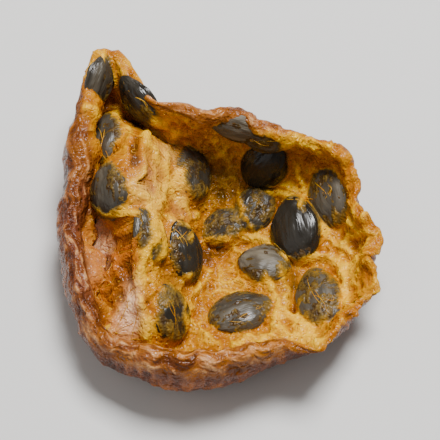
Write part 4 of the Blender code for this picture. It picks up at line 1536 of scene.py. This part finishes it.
def scattered_paths(count):
    """Short paths strewn over the pulp, each from one place on the grid towards another."""
    points, _, pulp = flesh_grid()
    draw = np.random.default_rng(STRAND_SEED)
    share = np.linspace(0.0, 1.0, STRAND_STEPS)
    paths = []
    while len(paths) < count:
        row = draw.integers(STRAND_FIRST_ROW, STRAND_LAST_ROW)
        column = draw.integers(0, FINE_ANGLES)
        rows = row + share * draw.integers(-ROWS_CROSSED, ROWS_CROSSED + 1)
        rows = rows + ROW_SWAY * np.sin(share * 6.0 + draw.random() * 6.0)
        columns = column + share * draw.integers(-COLUMNS_CROSSED, COLUMNS_CROSSED + 1)
        columns = columns + COLUMN_SWAY * np.sin(share * draw.random() * 9.0)
        rows = np.clip(rows, LEAST_ROW, TOP_ROWS - 1).astype(int)
        columns = columns.astype(int) % FINE_ANGLES
        if pulp[rows, columns].min() < LEAST_PULP:
            continue
        path = points[rows, columns]
        if not crosses_seed(path):
            paths.append(path)
    return paths


def laid_paths():
    """The listed strands, put down on the surface that the onlooker sees there."""
    points, normals, _ = flesh_grid()
    shift = settle_shift()
    raised_up = seen_up(points) - seen_up(shift)
    hidden = np.where(normals @ TOWARDS > LEAST_FACING, 0.0, 1.0)
    nearness = points @ TOWARDS
    draw = np.random.default_rng(FRAY_SEED)
    paths = []
    for laid in LAID_STRANDS * FRAYED:
        start, end = draw.uniform(0.0, 0.35), draw.uniform(0.65, 1.0)
        stops = np.linspace(start, end, STRAND_STEPS) * (len(laid) - 1)
        across, up = (np.interp(stops, range(len(laid)), line) * MM for line in np.array(laid).T)
        sway = FRAY_WIDTH * np.sin(np.linspace(0.0, draw.uniform(2.0, 6.0), STRAND_STEPS))
        across = across + draw.normal(0.0, FRAY_SWAY) * sway
        up = up + draw.normal(0.0, FRAY_SWAY) * sway
        path = []
        for x, y in zip(across, up):
            miss = np.hypot(points[..., 0] - shift[0] - x, raised_up - y) + hidden
            spot = np.unravel_index((miss - NEAR_SIDE_PULL * nearness).argmin(), miss.shape)
            path.append(points[spot])
        paths.append(onto_seeds(np.array(path)))
    return paths


def path_mesh(paths):
    """Edges along each path, eased, with the share of the full thickness at each point."""
    mesh = bpy.data.meshes.new("strand_paths")
    points, edges, thick = [], [], []
    for path in paths:
        for _ in range(2):
            path[1:-1] = 0.5 * path[1:-1] + 0.25 * (path[:-2] + path[2:])
        first = len(points)
        points += [tuple(p) for p in path]
        edges += [(first + k, first + k + 1) for k in range(len(path) - 1)]
        share = np.linspace(0.0, 1.0, len(path))
        thick += list(0.25 + 0.75 * np.sin(share * math.pi) ** 0.6)
    mesh.from_pydata(points, edges, [])
    store(mesh, "thick", thick)
    return mesh


def crumbs_tree():
    """Strews small rough crumbs over the pulp of the given mesh, beside the seeds."""
    tree = new_geometry_tree("crumbs_on_pulp")
    socket(tree, "Density", "Float")
    socket(tree, "Size", "Float")
    socket(tree, "Seed", "Int")
    socket(tree, "Material", "Material")
    ins = node(tree, "NodeGroupInput").outputs
    on_pulp = maths(tree, "GREATER_THAN", stored(tree, "pulp"), 0.6)
    off_seeds = maths(tree, "LESS_THAN", stored(tree, "film"), 0.2)
    density = maths(tree, "MULTIPLY", maths(tree, "MULTIPLY", on_pulp, off_seeds), ins["Density"])
    strewn = node(
        tree, "GeometryNodeDistributePointsOnFaces",
        {"Mesh": ins["Geometry"], "Density": density, "Seed": ins["Seed"]},
    ).outputs
    ball = node(tree, "GeometryNodeMeshIcoSphere", {"Subdivisions": 2}).outputs[0]
    spread, spin = (
        node(
            tree, "FunctionNodeRandomValue", {0: least, 1: most, "Seed": ins["Seed"]},
            data_type="FLOAT_VECTOR",
        ).outputs[0]
        for least, most in (CRUMB_SPREAD, CRUMB_SPIN)
    )
    turned = node(
        tree, "FunctionNodeRotateRotation", {0: strewn["Rotation"], 1: spin},
        rotation_space="LOCAL",
    ).outputs[0]
    laid = node(
        tree, "GeometryNodeInstanceOnPoints",
        {
            "Points": strewn["Points"], "Instance": ball, "Rotation": turned,
            "Scale": vector_maths(tree, "SCALE", {0: spread, "Scale": ins["Size"]}),
        },
    ).outputs[0]
    real = node(tree, "GeometryNodeRealizeInstances", {0: laid}).outputs[0]
    rough = cloudy(tree, position(tree), CRUMB_SCALE)
    push = maths(tree, "MULTIPLY", maths(tree, "SUBTRACT", rough, 0.5), ins["Size"])
    finish_tree(tree, pushed_out(tree, real, push), ins["Material"])
    return tree


class FRUIT_OT_flesh(bpy.types.Operator):
    """Makes the sheet of rind and pulp, with its films over the seeds"""

    bl_idname = "dried_fruit.make_flesh"
    bl_label = "Make flesh"

    def execute(self, context):
        sizes = context.scene.flesh_sizes
        rows = fine_rows()
        normals = normals_of(rows)
        height, marks = relief(rows, normals, sizes)
        points = rows + normals * height[..., None]
        points[..., :2] += marks["spread"][..., None] * fine_turn()
        drape_over_seeds(points, marks, sizes)
        points += settle_shift()
        points[..., 2] = np.maximum(points[..., 2], 0.0)
        mesh = closed_mesh("flesh", points)
        add_marks(mesh, marks)
        add_sheet_place(mesh, rows)
        piece = add_piece("flesh", mesh, flesh_material(context.scene.flesh_colours))
        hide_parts("dried_half")
        return {"FINISHED"}


class FRUIT_OT_seeds(bpy.types.Operator):
    """Makes the seeds that lie in the pulp"""

    bl_idname = "dried_fruit.make_seeds"
    bl_label = "Make seeds"

    def execute(self, context):
        look = context.scene.seed_look
        material = seed_material(look)
        values = {
            "Detail": look.detail, "Ribs": look.ribs, "Pits": look.pits,
            "Shrinkage": look.shrink, "Pit size": look.pit_size, "Material": material,
        }
        mesh = grown(seed_points(), "seeds", seeds_tree(), values)
        piece = add_piece("seeds", mesh, material)
        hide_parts("dried_half")
        return {"FINISHED"}


class FRUIT_OT_strands(bpy.types.Operator):
    """Makes the dried strands that cross the pulp and the seeds"""

    bl_idname = "dried_fruit.make_strands"
    bl_label = "Make strands"

    def execute(self, context):
        look = context.scene.strand_look
        paths = laid_paths() + scattered_paths(look.count)
        material = strand_material(context.scene.flesh_colours, "dried_strands")
        values = {"Radius": look.thickness, "Sides": STRAND_SIDES, "Material": material}
        mesh = grown(path_mesh(paths), "strands", strands_tree(), values)
        add_piece("strands", mesh, material)
        return {"FINISHED"}


class FRUIT_OT_crumbs(bpy.types.Operator):
    """Makes the crumbs of dried pulp"""

    bl_idname = "dried_fruit.make_crumbs"
    bl_label = "Make crumbs"

    def execute(self, context):
        look = context.scene.strand_look
        material = strand_material(context.scene.flesh_colours, "dried_crumbs")
        values = {
            "Density": look.crumb_density, "Size": look.crumb, "Seed": CRUMB_SEED,
            "Material": material,
        }
        source = bpy.data.objects["flesh"].data.copy()
        mesh = grown(source, "crumbs", crumbs_tree(), values)
        add_piece("crumbs", mesh, material)
        return {"FINISHED"}


class FRUIT_OT_stage(bpy.types.Operator):
    """Sets out the floor, the lights and the camera"""

    bl_idname = "dried_fruit.make_stage"
    bl_label = "Make stage"

    def execute(self, context):
        look = context.scene.stage_look
        material, tree, shader = new_material("pale_floor")
        place = node(tree, "ShaderNodeTexCoord").outputs["Object"]
        mottle = cloudy(tree, place, MOTTLE_SCALE)
        colour = blend(tree, mottle, shaded(look.floor, 0.97), solid(look.floor))
        feed(shader, {"Base Color": colour, "Roughness": 0.75})
        mesh = bpy.data.meshes.new("floor")
        signs = ((-1, -1), (1, -1), (1, 1), (-1, 1))
        corners = [(x * FLOOR_HALF, y * FLOOR_HALF, 0) for x, y in signs]
        mesh.from_pydata(corners, [], [(0, 1, 2, 3)])
        mesh.materials.append(material)
        floor = placed("floor", mesh)
        add_light("key_light", place=(0.05, 0.10, 0.30), size=0.12, power=look.key)
        add_light("fill_light", place=(-0.22, -0.14, 0.22), size=0.36, power=look.fill)
        world = bpy.data.worlds.new("even_light")
        world.use_nodes = True
        feed(world.node_tree.nodes["Background"], {"Color": SKY_COLOUR, "Strength": look.sky})
        context.scene.world = world
        camera = bpy.data.cameras.new("camera")
        camera.lens = look.lens
        camera.clip_start = 0.01
        seer = placed("camera", camera)
        back = Vector(TOWARDS)
        seer.location = Vector((0.0, 0.0, AIM_HEIGHT)) + back * look.distance
        seer.rotation_euler = (-back).to_track_quat("-Z", "Y").to_euler()
        context.scene.camera = seer
        return {"FINISHED"}


def add_light(name, place, size, power):
    """A soft square light that faces the fruit."""
    lamp = bpy.data.lights.new(name, "AREA")
    lamp.size = size
    lamp.energy = power
    holder = placed(name, lamp)
    holder.location = place
    holder.rotation_euler = Vector(place).to_track_quat("Z", "Y").to_euler()


class FRUIT_PT_panel(bpy.types.Panel):
    """Lists the fruit's pieces and their sizes and colours"""

    bl_idname = "FRUIT_PT_panel"
    bl_label = "Dried passion fruit"
    bl_space_type = "VIEW_3D"
    bl_region_type = "UI"
    bl_category = "Dried fruit"

    def draw(self, context):
        for group, (operators, kind) in GROUPS.items():
            box = self.layout.box()
            for operator in operators:
                box.operator("dried_fruit." + operator)
            look = getattr(context.scene, group)
            for name in kind.__annotations__:
                box.prop(look, name)


GROUPS = {
    "flesh_sizes": (("make_flesh",), FleshSizes),
    "flesh_colours": ((), FleshColours),
    "seed_look": (("make_seeds",), SeedLook),
    "strand_look": (("make_strands", "make_crumbs"), StrandLook),
    "stage_look": (("make_stage",), StageLook),
}
CLASSES = (
    FRUIT_OT_flesh, FRUIT_OT_seeds, FRUIT_OT_strands, FRUIT_OT_crumbs, FRUIT_OT_stage,
    FRUIT_PT_panel,
)


def register():
    for name, (_, kind) in GROUPS.items():
        bpy.utils.register_class(kind)
        setattr(bpy.types.Scene, name, PointerProperty(type=kind))
    for kind in CLASSES:
        bpy.utils.register_class(kind)


def unregister():
    for kind in reversed(CLASSES):
        bpy.utils.unregister_class(kind)
    for name, (_, kind) in GROUPS.items():
        delattr(bpy.types.Scene, name)
        bpy.utils.unregister_class(kind)


def main():
    register()
    bpy.ops.dried_fruit.make_flesh()
    bpy.ops.dried_fruit.make_seeds()
    bpy.ops.dried_fruit.make_strands()
    bpy.ops.dried_fruit.make_crumbs()
    bpy.ops.dried_fruit.make_stage()


if __name__ == "__main__":
    main()
